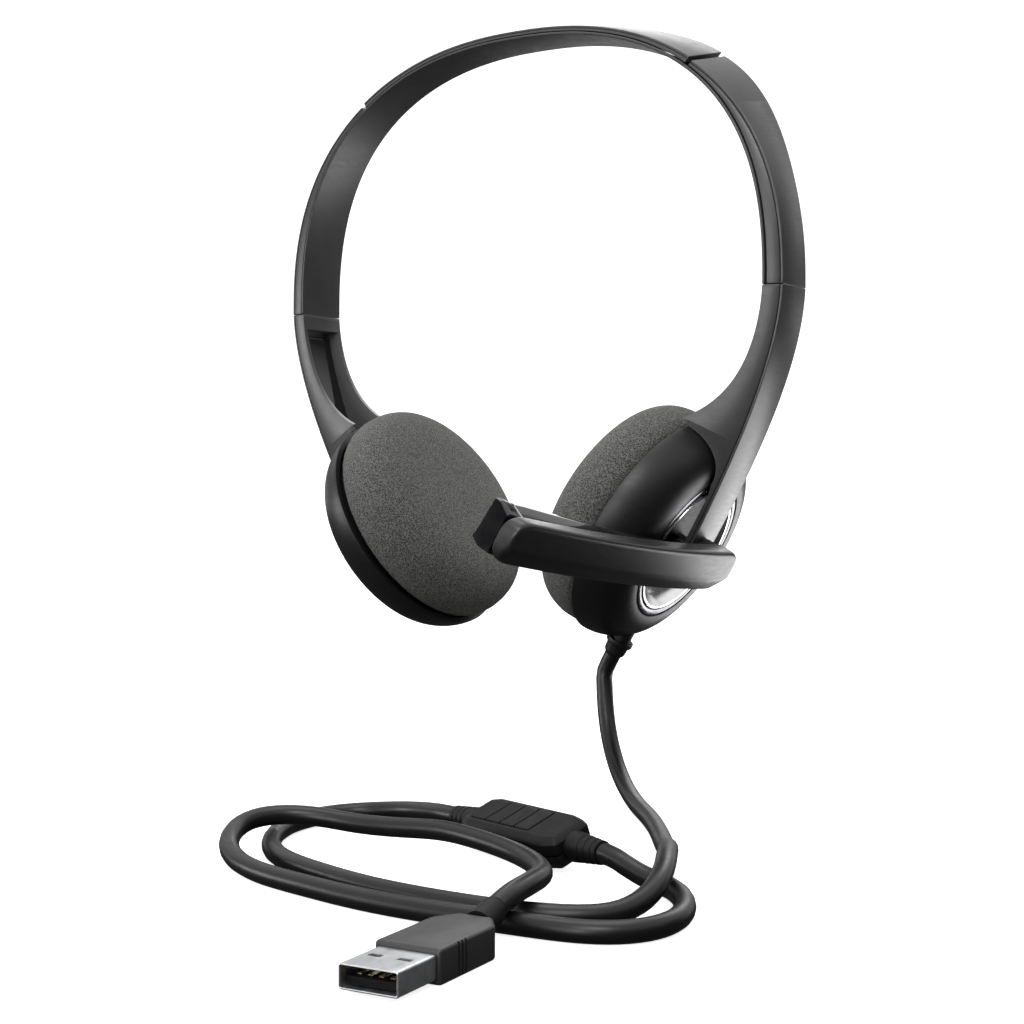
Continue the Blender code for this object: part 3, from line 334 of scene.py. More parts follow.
# Open-cell foam: small pits between lighter strands, speckled light and dark. The near-black of the pits is
# painted shade in the hollow cells, and the lighter strands carry the foam's own grey.
def foam(name):
    made, tree, shader = newMaterial(name, (0.1, 0.1, 0.09), 0.96)
    shader.inputs["Specular IOR Level"].default_value = 0.25
    shader.inputs["Sheen Weight"].default_value = 0.12
    shader.inputs["Sheen Roughness"].default_value = 0.6
    space = objectSpace(tree)
    cells = addNode(tree, "ShaderNodeTexVoronoi", Scale=2900.0)
    tree.links.new(space, cells.inputs["Vector"])
    strands = noise(tree, space, 2700, 3, 0.75)
    mix = addNode(tree, "ShaderNodeMath", operation="MULTIPLY_ADD")
    tree.links.new(cells.outputs["Distance"], mix.inputs[0])
    mix.inputs[1].default_value = 0.55
    tree.links.new(strands, mix.inputs[2])
    # painted shade: the pits (cell middles) go near black and the strands keep the foam's own grey
    tones = [(0.48, (0.002, 0.002, 0.002)), (0.66, (0.026, 0.026, 0.0245)), (0.88, (0.15, 0.15, 0.142))]
    ramp(tree, mix.outputs["Value"], tones, shader.inputs["Base Color"])
    broad = bump(tree, shader, noise(tree, space, 140, 3), 0.12, 0.0006)
    bump(tree, shader, mix.outputs["Value"], 0.75, 0.0005, broad)
    return made


def chrome(name):
    made, tree, shader = newMaterial(name, (0.95, 0.95, 0.95), 0.2, 1.0)
    space = objectSpace(tree)
    span(tree, noise(tree, space, 240, 4), 0.14, 0.26, 0.3, 0.7, shader.inputs["Roughness"])
    tones = [(0.3, (0.92, 0.92, 0.93)), (0.7, (0.98, 0.98, 0.98))]
    ramp(tree, noise(tree, space, 70), tones, shader.inputs["Base Color"])
    bump(tree, shader, noise(tree, space, 1800, 2), 0.03, 0.0001)
    return made


# Rolled steel: fine lines along the rolling direction, a few scratches and dull spots.
def brushedSteel(name, colour, along):
    made, tree, shader = newMaterial(name, colour, 0.3, 1.0)
    lines = noise(tree, objectSpace(tree, along), 2400, 4, 0.6)
    blotch = noise(tree, objectSpace(tree), 420, 5, 0.65)
    scratch = noise(tree, objectSpace(tree, (1, 0.06, 1), (0, 0, 0.5)), 3600, 2, 0.5)
    darker = tuple(c * 0.84 for c in colour)
    lighter = tuple(min(c * 1.12, 1) for c in colour)
    ramp(tree, blotch, [(0.3, darker), (0.5, colour), (0.75, lighter)], shader.inputs["Base Color"])
    span(tree, lines, 0.3, 0.42, 0.3, 0.7, shader.inputs["Roughness"])
    first = bump(tree, shader, lines, 0.07, 0.0001)
    bump(tree, shader, scratch, 0.05, 0.0001, first)
    return made


def plainMetal(name, colour, roughness):
    made, tree, shader = newMaterial(name, colour, roughness, 1.0)
    space = objectSpace(tree)
    dull = noise(tree, space, 700, 4)
    span(tree, dull, roughness * 0.7, roughness * 1.4, 0.3, 0.7, shader.inputs["Roughness"])
    bump(tree, shader, noise(tree, space, 2200, 3), 0.06, 0.0001)
    return made


def boardMaterial(name):
    made, tree, shader = newMaterial(name, (0.02, 0.14, 0.06), 0.4)
    space = objectSpace(tree)
    tracks = addNode(tree, "ShaderNodeTexVoronoi", Scale=420.0, distance="MANHATTAN")
    tree.links.new(space, tracks.inputs["Vector"])
    tones = [(0.2, (0.02, 0.14, 0.06)), (0.5, (0.03, 0.2, 0.09))]
    ramp(tree, tracks.outputs["Distance"], tones, shader.inputs["Base Color"])
    bump(tree, shader, tracks.outputs["Distance"], 0.2, 0.0001)
    return made


finishes = {
    "satin": mouldedPlastic("satin_plastic", (0.045, 0.045, 0.047), 0.34, 2600, 0.1),
    "satinDark": mouldedPlastic("dark_satin_plastic", (0.03, 0.03, 0.032), 0.38, 2400, 0.12),
    "cup": mouldedPlastic("cup_plastic", (0.006, 0.006, 0.007), 0.4, 2200, 0.1),
    "boom": mouldedPlastic("boom_plastic", (0.02, 0.02, 0.021), 0.34, 2400, 0.1),
    "trim": mouldedPlastic("trim_plastic", (0.004, 0.004, 0.005), 0.5, 2000, 0.15),
    "remote": mouldedPlastic("remote_plastic", (0.005, 0.005, 0.006), 0.5, 1900, 0.22, 0.06, 0.25),
    "tongue": mouldedPlastic("tongue_plastic", (0.003, 0.003, 0.003), 0.6, 1900, 0.1, 0.06, 0.15),
    "overmould": mouldedPlastic("overmould_plastic", (0.026, 0.026, 0.027), 0.42, 2100, 0.14),
    "cord": mouldedPlastic("cord_jacket", (0.006, 0.006, 0.007), 0.36, 1500, 0.1, 0.06, 0.4),
    "gloss": glossPlastic("gloss_plastic", (0.004, 0.004, 0.005)),
    "foam": foam("ear_foam"),
    "chrome": chrome("ring_chrome"),
    "darkChrome": plainMetal("bezel_metal", (0.16, 0.16, 0.17), 0.22),
    "steel": brushedSteel("shell_steel", (0.72, 0.73, 0.75), (1, 0.05, 1)),
    "pin": plainMetal("pin_steel", (0.5, 0.5, 0.52), 0.28),
    "gold": plainMetal("contact_gold", (0.5, 0.4, 0.22), 0.3),
    "board": boardMaterial("circuit_board"),
    "cone": mouldedPlastic("cone_film", (0.5, 0.5, 0.47), 0.5, 900, 0.3),
}


def paint(obj, finish):
    obj.data.materials.clear()
    obj.data.materials.append(finishes[finish])
    return obj


# Paints a new piece and hides the CAD node it replaces.
def dress(obj, finish, node):
    paint(obj, finish)
    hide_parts(node)
    return obj


# Cords
cordFit = {"radius": 2.3 * mm, "points": 150, "relaxPlan": 14, "relaxHeight": 5}
# heights of the cord's middle in mm, where it lies on the floor and where it passes over itself
low = floorZ / mm + 2.3 + 0.05
over = low + 4.9


def remoteMatrix():
    return (Matrix.Translation(Vector(remoteBody["centre"])) @ Matrix.Rotation(math.radians(-19), 4, "Z")
            @ Matrix.Rotation(math.radians(20), 4, "X"))


remoteBody = {"centre": (0.053, -0.087, -0.0758), "length": 34 * mm, "width": 13 * mm, "height": 8.5 * mm,
              "relief": 9 * mm}
plugBody = {"nose": (0.0872, -0.1916), "yaw": 3.5, "shell": (12 * mm, 12 * mm, 4.5 * mm), "wall": 0.35 * mm,
            "body": (24 * mm, 13.6 * mm, 6.4 * mm), "rise": 1 * mm, "relief": 6 * mm, "slope": 18,
            "base": 3 * mm, "gap": 0.3 * mm}


def plugMatrix():
    p = plugBody
    return (Matrix.Translation((*p["nose"], floorZ + 0.05 * mm + p["body"][2] / 2))
            @ Matrix.Rotation(math.pi / 2 + math.radians(p["yaw"]), 4, "Z"))


def plugReliefMatrix():
    p = plugBody
    slope = math.radians(p["slope"])
    back = p["shell"][0] + p["body"][0] + p["gap"] + p["base"] * math.sin(slope)
    return (plugMatrix() @ Matrix.Translation((back, 0, p["rise"]))
            @ Matrix.Rotation(math.pi / 2 - slope, 4, "Y"))


def cordRoutes():
    cup = cups["right"]
    start = cup @ Vector((-36.8 * mm, 0, 7 * mm)) / mm
    leave = cup @ Vector((-41.5 * mm, 0, 7 * mm)) / mm
    reach = remoteBody["length"] / 2 + 0.6 * mm + remoteBody["relief"]
    ends = []
    for sign in (-1, 1):
        near = remoteMatrix() @ Vector((sign * reach, 0, 0)) / mm
        far = remoteMatrix() @ Vector((sign * (reach + 5 * mm), 0, 0)) / mm
        ends.append((tuple(near), tuple(far)))
    plugNear = plugReliefMatrix() @ Vector((0, 0, plugBody["relief"] + 0.3 * mm)) / mm
    plugFar = plugReliefMatrix() @ Vector((0, 0, plugBody["relief"] + 4 * mm)) / mm
    upper = [
        tuple(start), tuple(leave), (24.6, -0.8, -54.5), (26.6, -3.0, -62.5), (31.6, -8.0, -70.5),
        (38.5, -15.0, -76.0), (47.5, -24.5, low + 0.5), (58, -37, low), (68, -51, low), (79, -68.5, low + 0.4),
        (87.5, -83.5, over - 1.0), (94, -97, over + 0.3), (99.6, -109, over - 0.5), (101.8, -119, low + 1.8),
        (99.3, -128, low), (92, -134, low), (81.8, -136.2, low), (65.7, -136.8, low), (46, -135, low),
        (26.3, -129.5, low), (11.6, -123.6, low), (0.5, -114.5, low), (-8, -102.5, low), (-12.8, -90, low),
        (-13.2, -78.5, low), (-8.5, -70.6, low + 0.2), (0, -68.2, low + 0.9), (9.5, -70.2, low + 2.1),
        ends[0][1], ends[0][0]]
    lower = [
        ends[1][0], ends[1][1], (86.5, -98.2, low + 1.2), (94.5, -99.0, low + 0.1), (102.5, -106.5, low),
        (109, -117.5, low), (111.3, -129, low), (107.5, -138.5, low), (98.5, -142.6, low), (84.7, -143.5, low),
        (65.6, -144.8, low), (48, -143.8, low), (32, -140.6, low), (16, -136.6, low), (3, -130.6, low + 0.9),
        (-5.6, -122, low + 2.8), (-8.8, -112.5, low + 4.8), (-5.6, -104.8, over + 0.4), (2.4, -100.2, over),
        (13, -97.6, over - 1.2), (25, -96.8, over - 1.0), (37, -97.6, over - 0.1), (49, -101.2, over - 0.2),
        (60.5, -105.6, over - 0.6), (70.5, -111.5, over - 1.0), (78, -120, over - 0.8), (82, -130, over + 0.2),
        tuple(plugFar), tuple(plugNear)]
    return upper, lower


# A Catmull-Rom curve through the points from the second to the last but one, at the steps t of each stretch.
def throughPoints(p, t):
    a, b, c, d = (p[k:len(p) - 3 + k][:, None] for k in range(4))
    return 0.5 * (2 * b + (c - a) * t + (2 * a - 5 * b + 4 * c - d) * t ** 2 + (3 * b - a - 3 * c + d) * t ** 3)


# The curve through the route's points, read at even steps; its two end stretches stay straight.
def smoothRoute(points, count):
    knots = np.array(points, float) * mm
    t = np.linspace(0, 1, 60, endpoint=False)[:, None]
    dense = np.vstack([knots[:1], throughPoints(knots, t).reshape(-1, 3), knots[-2:]])
    along = np.concatenate([[0], np.cumsum(np.linalg.norm(np.diff(dense, axis=0), axis=1))])
    spots = np.linspace(0, along[-1], count)
    line = np.stack([np.interp(spots, along, dense[:, k]) for k in range(3)], axis=1)
    # the plan and the height relax towards the mean of their neighbours, and the plan's two ends are held
    for _ in range(cordFit["relaxPlan"]):
        line[4:-4, :2] = line[4:-4, :2] * 0.5 + (line[3:-5, :2] + line[5:-3, :2]) * 0.25
    for _ in range(cordFit["relaxHeight"]):
        line[1:-1, 2] = line[1:-1, 2] * 0.5 + (line[:-2, 2] + line[2:, 2]) * 0.25
    line[:, 2] = np.maximum(line[:, 2], floorZ + cordFit["radius"] + 0.02 * mm)
    return line


def addCord(name, route):
    line = smoothRoute(route, cordFit["points"])
    curve = bpy.data.curves.new(name, "CURVE")
    curve.dimensions = "3D"
    curve.bevel_depth = cordFit["radius"]
    curve.bevel_resolution = 6
    curve.use_fill_caps = True
    spline = curve.splines.new("POLY")
    spline.points.add(len(line) - 1)
    spline.points.foreach_set("co", np.hstack([line, np.ones((len(line), 1))]).ravel())
    spline.use_smooth = True
    obj = bpy.data.objects.new(name, curve)
    bpy.context.scene.collection.objects.link(obj)
    paint(obj, "cord")
    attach(obj, "cup_right")
    return obj, line, float(np.linalg.norm(np.diff(line, axis=0), axis=1).sum())


upperRoute, lowerRoute = cordRoutes()
upperCord, upperLine, upperLength = addCord("upper_cord", upperRoute)
lowerCord, lowerLine, lowerLength = addCord("lower_cord", lowerRoute)
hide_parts("cord_upper")
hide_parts("cord_lower")
print("cords:", round(upperLength, 3), round(lowerLength, 3))

# Headband
band = {"halfSpan": 80.8 * mm, "shoulder": 57 * mm, "rise": 73 * mm, "square": 2.3, "seam": 55 * mm,
        "gap": 0.3 * mm, "halfWidth": 7.3 * mm, "flare": 0.3, "crown": 2.0 * mm, "thick": 5.2 * mm,
        "core": 0.8 * mm, "raise": 0.5 * mm, "seamGap": 0.12 * mm, "wedgeCrown": 0.22, "wedgeSide": 0.26,
        "notch": (0.55 * mm, 0.3 * mm, 0.3 * mm), "fineEdge": 0.12 * mm, "endEase": 0.25 * mm,
        "coverAngle": math.radians(51), "coverJoint": math.radians(0.5)}


# The arch is a squared ellipse: X = span cos^(2/n), Z = shoulder + rise sin^(2/n).
def archLine(angles):
    p = 2 / band["square"]
    c, s = np.cos(angles), np.sin(angles)
    x = band["halfSpan"] * np.sign(c) * np.abs(c) ** p
    return np.column_stack([x, band["shoulder"] + band["rise"] * np.abs(s) ** p])


def archDepth(angles):
    return band["crown"] + (band["thick"] - band["crown"]) * np.cos(angles) ** 4


# The band thickens towards its back edge, most of all halfway up to the crown: points near the outer
# surface move out along the normal with their distance from the front edge.
def canted(rings, line, normals, angles):
    si, co = np.sin(angles), np.abs(np.cos(angles))
    lift = band["wedgeCrown"] * si ** 4 + band["wedgeSide"] * (2 * si * co) ** 4
    depth = np.einsum("ijk,ik->ij", line[:, None] - rings[:, :, [0, 2]], normals)
    layer = (archDepth(angles) - band["core"] - band["gap"])[:, None]
    share = np.clip(1 - depth / layer, 0, 1)
    move = lift[:, None] * share * (rings[:, :, 1] + band["halfWidth"]).clip(0)
    rings[:, :, 0] += move * normals[:, :1]
    rings[:, :, 2] += move * normals[:, 1:]
    return rings


def lineNormals(line):
    along = np.gradient(line, axis=0)
    along /= np.linalg.norm(along, axis=1)[:, None]
    return np.column_stack([along[:, 1], -along[:, 0]])


# Rings of a trapezoid carried along a line in XZ: depth runs inward, and the sides flare with depth.
# A notch is a fine groove along both edges, a little below the outer face.
def bandRings(line, normals, half, top, bottom, radii, notch=None):
    flare = band["flare"]
    rings = []
    for p, n, h, t, b in zip(line, normals, half, top, bottom):
        corners = [(-h - flare * t, t), (h + flare * t, t)]
        edge = [(h + flare * b, b), (-h - flare * b, b)]
        if notch:
            a, c, w = t + notch[0], t + notch[0] + notch[1], notch[2]
            groove = [(h + flare * a, a), (h - w, a + 0.02 * mm), (h - w, c - 0.02 * mm), (h + flare * c, c)]
            edge = groove + edge + [(-y, z) for y, z in groove[::-1]]
        section = rounded(corners + edge, *((band["fineEdge"], 3) if notch else (radii, 5)))
        spot = p - n * section[:, 1:]
        rings.append(np.column_stack([spot[:, 0], section[:, 0], spot[:, 1]]))
    return np.array(rings)


# Both ends of a run of rings drawn in a little over a short length, like a moulded edge.
def easedEnds(rings, size, ends=(True, True)):
    out = list(rings)
    for at, step, wanted in ((0, 1, ends[0]), (-1, -1, ends[1])):
        if not wanted:
            continue
        ring = out[at]
        along = rings[at + step] - ring
        along = along / np.linalg.norm(along, axis=1).mean()
        middle = ring.mean(0)
        reach = ring - middle
        lengths = np.linalg.norm(reach, axis=1)[:, None]
        eased = [middle + reach * (lengths - size * (1 - math.sin(a))) / lengths
                 + along * size * (1 - math.cos(a)) for a in (0.0, 0.5, 1.05)]
        full = ring + along * size
        if step == 1:
            out[0:1] = eased + [full]
        else:
            out[-1:] = [full] + eased[::-1]
    return np.array(out)


# A cover or strip from one angle to another. A seam end runs straight down to the arm.
def bandPiece(name, node, start, end, top, bottom, radii, finish, seams=(False, False), count=120, wide=0.0):
    angles = np.linspace(start, end, count)
    line = archLine(angles)
    normals = lineNormals(line)
    drop = band["seam"] + band["seamGap"] / 2
    if seams[0]:
        line = np.vstack([[band["halfSpan"], drop], line])
        normals = np.vstack([[1, 0], [1, 0], normals[1:]])
        angles = np.append(0.0, angles)
    if seams[1]:
        line = np.vstack([line, [-band["halfSpan"], drop]])
        normals = np.vstack([normals[:-1], [-1, 0], [-1, 0]])
        angles = np.append(angles, math.pi)
    half = np.full(len(line), band["halfWidth"] + wide)
    notch = None if finish == "satinDark" else band["notch"]
    rings = bandRings(line, normals, half, top(angles), bottom(angles), radii, notch)
    rings = easedEnds(canted(rings, line, normals, angles), band["endEase"])
    obj = loft(name, rings, Matrix.Identity(4), "headband", 40)
    dress(obj, finish, node)


zero = lambda a: np.zeros(len(a))
layer = lambda a: archDepth(a) - band["core"] - band["gap"]
bandPiece("band_inner_strip", "band_core", 0, math.pi, lambda a: archDepth(a) - band["core"], archDepth,
          0.3 * mm, "satinDark", (True, True), 200, 0.2 * mm)
bandPiece("band_centre_cover", "centre_cover", band["coverAngle"] + band["coverJoint"],
          math.pi - band["coverAngle"] - band["coverJoint"], lambda a: np.full(len(a), -band["raise"]), layer,
          (0.7 * mm, 0.7 * mm, 0.2 * mm, 0.2 * mm), "satin")
bandPiece("band_side_cover_right", "side_cover_right", 0, band["coverAngle"] - band["coverJoint"], zero, layer,
          (0.6 * mm, 0.6 * mm, 0.2 * mm, 0.2 * mm), "satin", (True, False))
bandPiece("band_side_cover_left", "side_cover_left", math.pi - band["coverAngle"] + band["coverJoint"], math.pi,
          zero, layer, (0.6 * mm, 0.6 * mm, 0.2 * mm, 0.2 * mm), "satin", (False, True))
print("headband made")

# Arms
arm = {"startHandle": 20 * mm, "endHandle": 30 * mm, "endWidth": 12 * mm, "wall": 1.5 * mm, "face": 15.3 * mm,
       "reach": 6 * mm, "saddleDepth": 16.2 * mm, "saddleZ": 14 * mm, "clearance": 0.5 * mm, "bridge": 4.8 * mm,
       "plate": 2 * mm, "liner": 0.8 * mm, "edge": 0.9 * mm, "innerEdge": 0.35 * mm, "curve": 4.2,
       "endRings": 14, "axleHole": 1.75 * mm, "linerEase": 0.3 * mm}
cup = {"rim": 33.2 * mm, "depth": 12.3 * mm, "wall": 1.6 * mm, "ring": 21.65 * mm, "bezel": 2.6 * mm,
       "bezelDepth": 1.6 * mm, "lip": 0.6 * mm, "floor": 7.7 * mm, "plate": 0.8 * mm, "gap": 0.3 * mm}
hinge = {"height": 10.6 * mm, "radius": 1.35 * mm, "knuckle": 2.4 * mm, "block": 4.4 * mm, "lug": 2.2 * mm,
         "turn": 0.06, "armBore": 12 * mm, "plateBore": 8 * mm}


def inCup(along, up):
    spot = cups["right"] @ Vector((up, 0, along))
    return np.array([spot.x, spot.z])


# The arm's outer line is one cubic curve from the seam to the hub, then straight on past it.
def armLine(count):
    first = np.array([band["halfSpan"], band["shoulder"]])
    last = inCup(arm["face"], 0)
    up = inCup(arm["face"], 1.0) - last
    p = np.array([first, first - (0, arm["startHandle"]), last + up * arm["endHandle"], last])
    t = np.linspace(0, 1, count)[:, None]
    line = (1 - t) ** 3 * p[0] + 3 * (1 - t) ** 2 * t * p[1] + 3 * (1 - t) * t ** 2 * p[2] + t ** 3 * p[3]
    return line, last, up


def saddleDepth(z):
    share = np.clip((band["shoulder"] - z) / (band["shoulder"] - arm["saddleZ"]), 0, 1)
    return band["thick"] + (arm["saddleDepth"] - band["thick"]) * share ** arm["curve"]


def armRings(line, top, bottom, inset, radii, notch=None):
    normals = -lineNormals(line)
    along = np.concatenate([[0], np.cumsum(np.linalg.norm(np.diff(line, axis=0), axis=1))])
    share = along / along[-1]
    half = band["halfWidth"] + (arm["endWidth"] / 2 - band["halfWidth"]) * share ** 3 - inset
    return bandRings(line, normals, half, top, bottom, radii, notch)


# Bowl of the cup: a squared-off quarter arc, radius falling with cos^0.9 and height rising with sin^1.25.
def bowlCurve(count=48, extra=0.0):
    a = np.linspace(math.pi / 2, 0, count)
    r = cup["ring"] + (cup["rim"] - cup["ring"]) * np.cos(a) ** 0.9
    z = cup["depth"] * np.sin(a) ** 1.25
    return np.column_stack([r + extra, z + extra * np.sin(a)])


def knuckleCutter(root, width, offset, matrix):
    sign = math.copysign(1, root - hinge["height"])
    turn = np.linspace(math.pi, 2 * math.pi, 25)
    r = hinge["knuckle"]
    outline = [(r * math.cos(x), hinge["height"] + sign * r * math.sin(x)) for x in turn]
    outline += [(r, root), (-r, root)]
    rings = [[(x, offset + y, z) for x, z in outline] for y in (-width / 2, width / 2)]
    return loft("lug", rings, matrix)


def rod(name, radius, low, high, matrix):
    e = 1e-6
    profile = [(radius - e, high), (radius, high - e), (radius, low + e), (radius - e, low)]
    return turned(name, profile, matrix, None, 48)


# The hinge pin's bore, turned a little so that its corners keep off the knuckle's.
def pinBore(place, reach):
    across = Matrix.Rotation(math.pi / 2, 4, "X") @ Matrix.Rotation(hinge["turn"], 4, "Z")
    centre = place @ Matrix.Translation((0, 0, hinge["height"]))
    return rod("bore", hinge["radius"], -reach, reach, centre @ across)


def makeArm(side):
    turn = sideTurn[side]
    frameHere = cups[side]
    line, last, up = armLine(90)
    line = line[line[:, 1] < band["seam"] - 0.4 * mm]
    seam = band["seam"] - band["seamGap"] / 2
    count = arm["endRings"]
    tail = last - up * np.linspace(0, 1, count)[1:, None] * arm["reach"]
    line = np.vstack([[band["halfSpan"], seam], line, tail])
    radii = (arm["edge"], arm["edge"], arm["innerEdge"], arm["innerEdge"])
    rings = armRings(line, np.zeros(len(line)), saddleDepth(line[:, 1]), 0, radii, band["notch"])
    rings[0, :, 2] = seam
    # the far end is drawn in to a half round
    reach = np.linspace(0, 1, count)[:, None]
    squeeze = np.sqrt(np.clip(1 - (reach * 0.985) ** 3.2, 0.02, 1))
    rings[-count:, :, 1] *= squeeze
    rings = easedEnds(rings, band["endEase"], (True, False))
    body = loft("arm_" + side, rings, turn, "arm_" + side)

    rows, _, _ = armLine(70)
    top = band["seam"] - arm["bridge"]
    low = inCup(arm["face"], cup["ring"] + 2 * mm)[1]
    rows = rows[(rows[:, 1] < top) & (rows[:, 1] > low)]
    wall = np.full(len(rows), arm["wall"])
    recess = armRings(rows, wall, saddleDepth(rows[:, 1]) + 3 * mm, arm["wall"], 0.5 * mm)
    cutters = [loft("recess", recess, turn)]
    clear = arm["clearance"]
    face = arm["face"] - arm["plate"]
    bowl = bowlCurve(40, clear * 0.6)
    bowl[:, 1] += clear * 0.6 * 0.5
    profile = [(cup["ring"] - 3 * mm, face)] + bowl.tolist() + [(34.8 * mm, 0), (34.8 * mm, -30 * mm)]
    cutters.append(turned("saddle", profile, frameHere, None, 160))
    cut(body, cutters)
    offset = hinge["block"] / 2 + cup["gap"] + hinge["lug"] / 2
    lugs = [knuckleCutter(arm["face"] - arm["plate"] / 2, hinge["lug"], s * offset, frameHere) for s in (-1, 1)]
    cut(body, lugs, "UNION")
    holes = [pinBore(frameHere, hinge["armBore"])]
    holes.append(strapSlot(side))
    if side == "right":
        outside = frameHere @ Matrix.Translation((0, 0, 8 * mm))
        holes.append(rod("axle_hole", arm["axleHole"], 0, 20 * mm, outside))
    cut(body, holes)
    dress(body, "satin", "arm_channel_" + side)

    under = arm["wall"] + cup["gap"]
    liner = rows[2:-3]
    rings = armRings(liner, np.full(len(liner), under), np.full(len(liner), under + arm["liner"]),
                     arm["wall"] + cup["gap"], (0.1 * mm, 0.1 * mm, arm["innerEdge"], arm["innerEdge"]))
    rings = easedEnds(rings, arm["linerEase"])
    strip = loft("arm_liner_panel_" + side, rings, turn, "arm_" + side)
    dress(strip, "gloss", "arm_liner_" + side)


# The slot follows the strap's own solid, with a little room all round.
def strapSlot(side):
    co = coordinates(nodes["slider_strap_" + side].data)
    run = Vector(joints["slider_" + side]["axis"]) * (1 if side == "right" else -1)
    outX = Vector((run.z, 0, -run.x)).normalized()
    basis = np.array([outX, (0, 1, 0), run])
    local = co @ basis.T
    lo, hi = local.min(0) - 0.3 * mm, local.max(0) + 0.3 * mm
    matrix = Matrix.Identity(4)
    for k in range(3):
        matrix.col[k] = (*basis[k], 0)
    corner = np.array([(lo[0], lo[1]), (hi[0], lo[1]), (hi[0], hi[1]), (lo[0], hi[1])])
    rings = [np.column_stack([corner, np.full(4, z)]) for z in (lo[2], hi[2])]
    return loft("slot", rings, matrix)


for side in ("right", "left"):
    makeArm(side)
print("arms made")


# Cups
def makeCup(side):
    here = cups[side]
    body = "cup_" + side
    bowl = bowlCurve(56)
    inner = bowlCurve(24)[::-1]
    inner = np.column_stack([inner[:, 0] - cup["wall"], np.maximum(inner[:, 1] - cup["wall"] * 0.6, 0)])
    mouth = cup["ring"] - cup["lip"]
    lip = cup["depth"]
    seat = lip - cup["wall"]
    start = [(mouth, lip - 0.2 * mm), (mouth + 0.2 * mm, lip)]
    inner = inner[(inner[:, 1] < seat) & (inner[:, 0] > mouth)]
    profile = start + bowl.tolist() + [(cup["rim"] - 0.4 * mm, 0)] + inner.tolist() + [(mouth, seat)]
    housing = turned("cup_shell_" + side, profile, here, body, 192, True, 50)
    if side == "right":
        down = here @ Matrix.Translation((0, 0, boot["height"])) @ Matrix.Rotation(-math.pi / 2, 4, "Y")
        cut(housing, [rod("boot_hole", boot["collar"] + 0.3 * mm, boot["base"] - 0.3 * mm, 45 * mm, down),
                      rod("boot_neck_hole", boot["neck"] + 0.3 * mm, 20 * mm, 40 * mm, down)])
    dress(housing, "cup", "cup_housing_" + side)

    outer = mouth - cup["gap"]
    linerOuter = cup["ring"] - cup["bezel"] - 0.4 * mm
    innerEdge = linerOuter + cup["gap"]
    low = cup["depth"] - cup["bezelDepth"]
    e = 0.25 * mm
    crown = cup["depth"] + 0.05 * mm
    arc = np.linspace(0, math.pi, 14)
    middle, half = (outer + innerEdge) / 2, (outer - innerEdge) / 2
    # the bezel's face is a shallow crowned band
    profile = [(innerEdge, low)] + [(middle - half * math.cos(a), crown - e + e * math.sin(a)) for a in arc]
    profile = (profile + [(outer, low)])[::-1]
    bezel = turned("cup_bezel_ring_" + side, profile, here, body, 160, True)
    dress(bezel, "darkChrome", "cup_bezel_" + side)

    foot = cup["floor"] + cup["gap"]
    top = cup["depth"] + 0.1 * mm
    profile = [(linerOuter, top - 0.2 * mm), (linerOuter, foot), (linerOuter - 4.4 * mm, foot),
               (linerOuter - 4.3 * mm, foot + 0.15 * mm), (linerOuter - 3.3 * mm, foot + 0.75 * mm),
               (linerOuter - 2.3 * mm, foot + 1.7 * mm), (linerOuter - 1.5 * mm, foot + 2.9 * mm),
               (linerOuter - 1.0 * mm, top - 0.3 * mm), (linerOuter - 0.8 * mm, top),
               (linerOuter - 0.2 * mm, top)]
    ring = turned("cup_chrome_ring_" + side, profile, here, body, 160, True)
    dress(ring, "chrome", "ring_liner_" + side)

    base = cup["floor"] - cup["plate"]
    radius = linerOuter - cup["gap"]
    profile = [(radius - 0.2 * mm, cup["floor"]), (radius, cup["floor"] - 0.2 * mm), (radius, base)]
    disc = turned("cup_pivot_plate_" + side, profile, here, body, 128)
    cut(disc, [knuckleCutter(base + cup["plate"] / 2, hinge["block"], 0, here)], "UNION")
    cut(disc, [pinBore(here, hinge["plateBore"])])
    dress(disc, "trim", "pivot_plate_" + side)


boot = {"height": 7 * mm, "neck": 2.75 * mm, "collar": 3.8 * mm, "base": 31.9 * mm, "end": 36.5 * mm}


def makeBoot():
    down = cups["right"] @ Matrix.Translation((0, 0, boot["height"])) @ Matrix.Rotation(-math.pi / 2, 4, "Y")
    b = boot
    tip = cordFit["radius"] + 0.45 * mm
    profile = [(tip - 0.25 * mm, b["end"]), (tip, b["end"] - 0.25 * mm), (3.0 * mm, b["end"] - 0.8 * mm),
               (3.1 * mm, b["base"] + 2.2 * mm), (3.35 * mm, b["base"] + 1.5 * mm),
               (b["collar"] - 0.1 * mm, b["base"] + 1.3 * mm), (b["collar"], b["base"] + 1.1 * mm),
               (b["collar"], b["base"]), (b["neck"], b["base"]), (b["neck"], 24.5 * mm)]
    obj = turned("cord_boot", profile, down, "cup_right", 64)
    dress(obj, "trim", "cable_boot")
    return obj


for side in ("right", "left"):
    makeCup(side)
bootPiece = makeBoot()
print("cups made")


# Cushions
pad = {"radius": 34.3 * mm, "depth": cushionDepth, "start": 0.96, "pressure": 4.0, "cap": 2.2 * mm,
       "voxel": 1.5 * mm, "frames": 12, "quality": 5, "smoothing": 6, "fill": 0.7}


